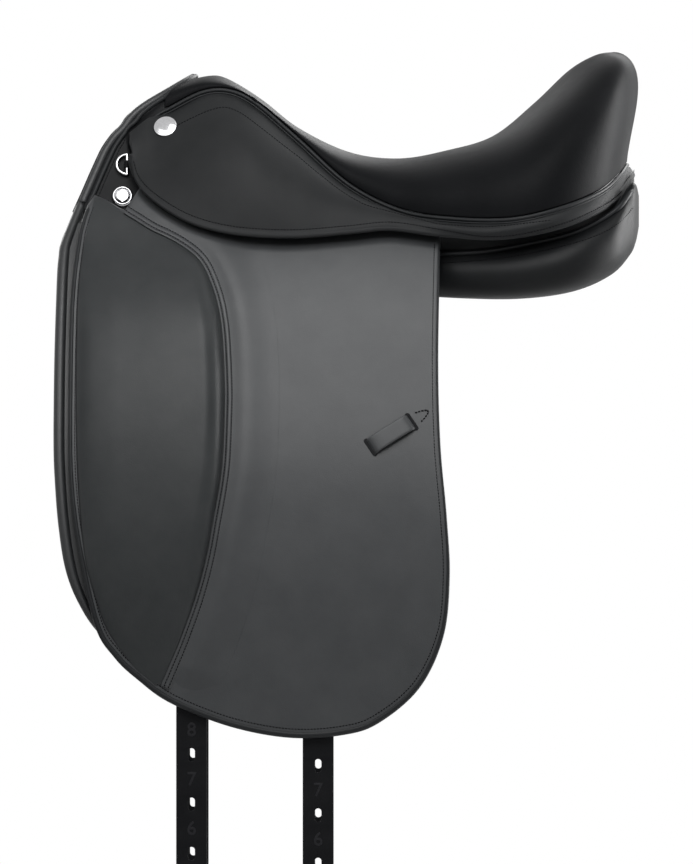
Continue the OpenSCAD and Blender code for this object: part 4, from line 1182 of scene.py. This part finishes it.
PLAIN_NODES = {
    "tree_plastic": ["tree_frame"],
    "copper": ["bar_rivets"],
    "steel": ["gullet_plate", "tree_springs", "catch_pins", "near_stirrup_bar", "off_stirrup_bar",
              "near_bar_catch", "off_bar_catch"],
    "chrome": ["panel_screws", "near_dee_ring", "off_dee_ring"]}
for look, names in PLAIN_NODES.items():
    for name in names:
        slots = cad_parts[name].data.materials
        slots.clear()
        slots.append(LOOKS[look])

# Floor, light and camera

FLOOR_Z = -0.86
CENTRE = (-0.0034, -0.1316)
VIEW_H = 0.8424
VIEW_DEPTH = 44.0
VIEW_PLANE = -0.13
FLOOR_HALF = 3
WHITE = (1, 1, 1, 1)

moulded("floor_paint", (0.80, 0.80, 0.80), 0.7, bumps=60.0, depth=0.05, uneven=0.97)
floor_mesh = bpy.data.meshes.new("floor")
corners = [(-1, -1), (1, -1), (1, 1), (-1, 1)]
floor_mesh.from_pydata([(FLOOR_HALF * x, FLOOR_HALF * y, FLOOR_Z) for x, y in corners], [], [(0, 1, 2, 3)])
floor_mesh.materials.append(LOOKS["floor_paint"])
linked("floor", floor_mesh)

world = bpy.data.worlds.new("studio")
bpy.context.scene.world = world
world.use_nodes = True
wt = world.node_tree
sky = feed(wt, wt.nodes["Background"], Color=WHITE, Strength=0.02)
seen = add(wt, "ShaderNodeBackground", Color=WHITE, Strength=1.0)
ray = add(wt, "ShaderNodeLightPath").outputs
shown = larger(wt, larger(wt, ray["Is Camera Ray"], ray["Is Glossy Ray"]), ray["Is Transmission Ray"])
pick = add(wt, "ShaderNodeMixShader", Fac=shown)
wt.links.new(sky.outputs["Background"], pick.inputs[1])
wt.links.new(seen.outputs["Background"], pick.inputs[2])
wt.links.new(pick.outputs["Shader"], wt.nodes["World Output"].inputs["Surface"])


def lit_from(name, azimuth, height, far, size, power, target=(0, -0.15, -0.1)):
    """Softbox at an azimuth from the camera's side and a height in degrees, turned to the saddle."""
    a, h = radians(azimuth), radians(height)
    away = far * Vector((sin(a) * cos(h), -cos(a) * cos(h), sin(h)))
    lamp = bpy.data.lights.new(name, "AREA")
    lamp.shape = "RECTANGLE"
    lamp.size, lamp.size_y = size
    lamp.energy = power
    obj = linked(name, lamp)
    obj.location = Vector(target) + away
    obj.rotation_euler = (-away).to_track_quat("-Z", "Y").to_euler()


SEAT_AND_SKIRT = (-0.05, -0.2, 0.0)
lit_from("front_top", 4, 60, 1.6, (0.6, 0.5), 11, target=SEAT_AND_SKIRT)
lit_from("front_high", 4, 37, 1.8, (0.9, 0.6), 15.5, target=SEAT_AND_SKIRT)
lit_from("front_low", -5, 15, 2.2, (0.9, 0.9), 2)
lit_from("left_near", -38, 45, 1.2, (0.6, 0.6), 4, target=(-0.1, -0.2, -0.22))
lit_from("strip_right", 97, 10, 2.2, (0.6, 1.8), 45)
lit_from("strip_rear", 115, 15, 2.2, (0.6, 1.8), 68)
lit_from("high_rear", 95, 60, 2.2, (0.9, 0.9), 3.5)
lit_from("back_left", -150, 25, 2.4, (0.9, 0.9), 12)
lit_from("back_right", 165, 25, 2.4, (0.9, 0.9), 10)

eye = bpy.data.cameras.new("camera")
eye.sensor_fit = "VERTICAL"
eye.sensor_height = 24.0
eye.lens = eye.sensor_height * (VIEW_DEPTH + VIEW_PLANE) / VIEW_H
eye.clip_end = 400.0
camera = linked("camera", eye)
camera.location = (CENTRE[0], -VIEW_DEPTH, CENTRE[1])
camera.rotation_euler = (pi / 2, 0, 0)
bpy.context.scene.camera = camera
bpy.context.scene.view_settings.view_transform = "Standard"
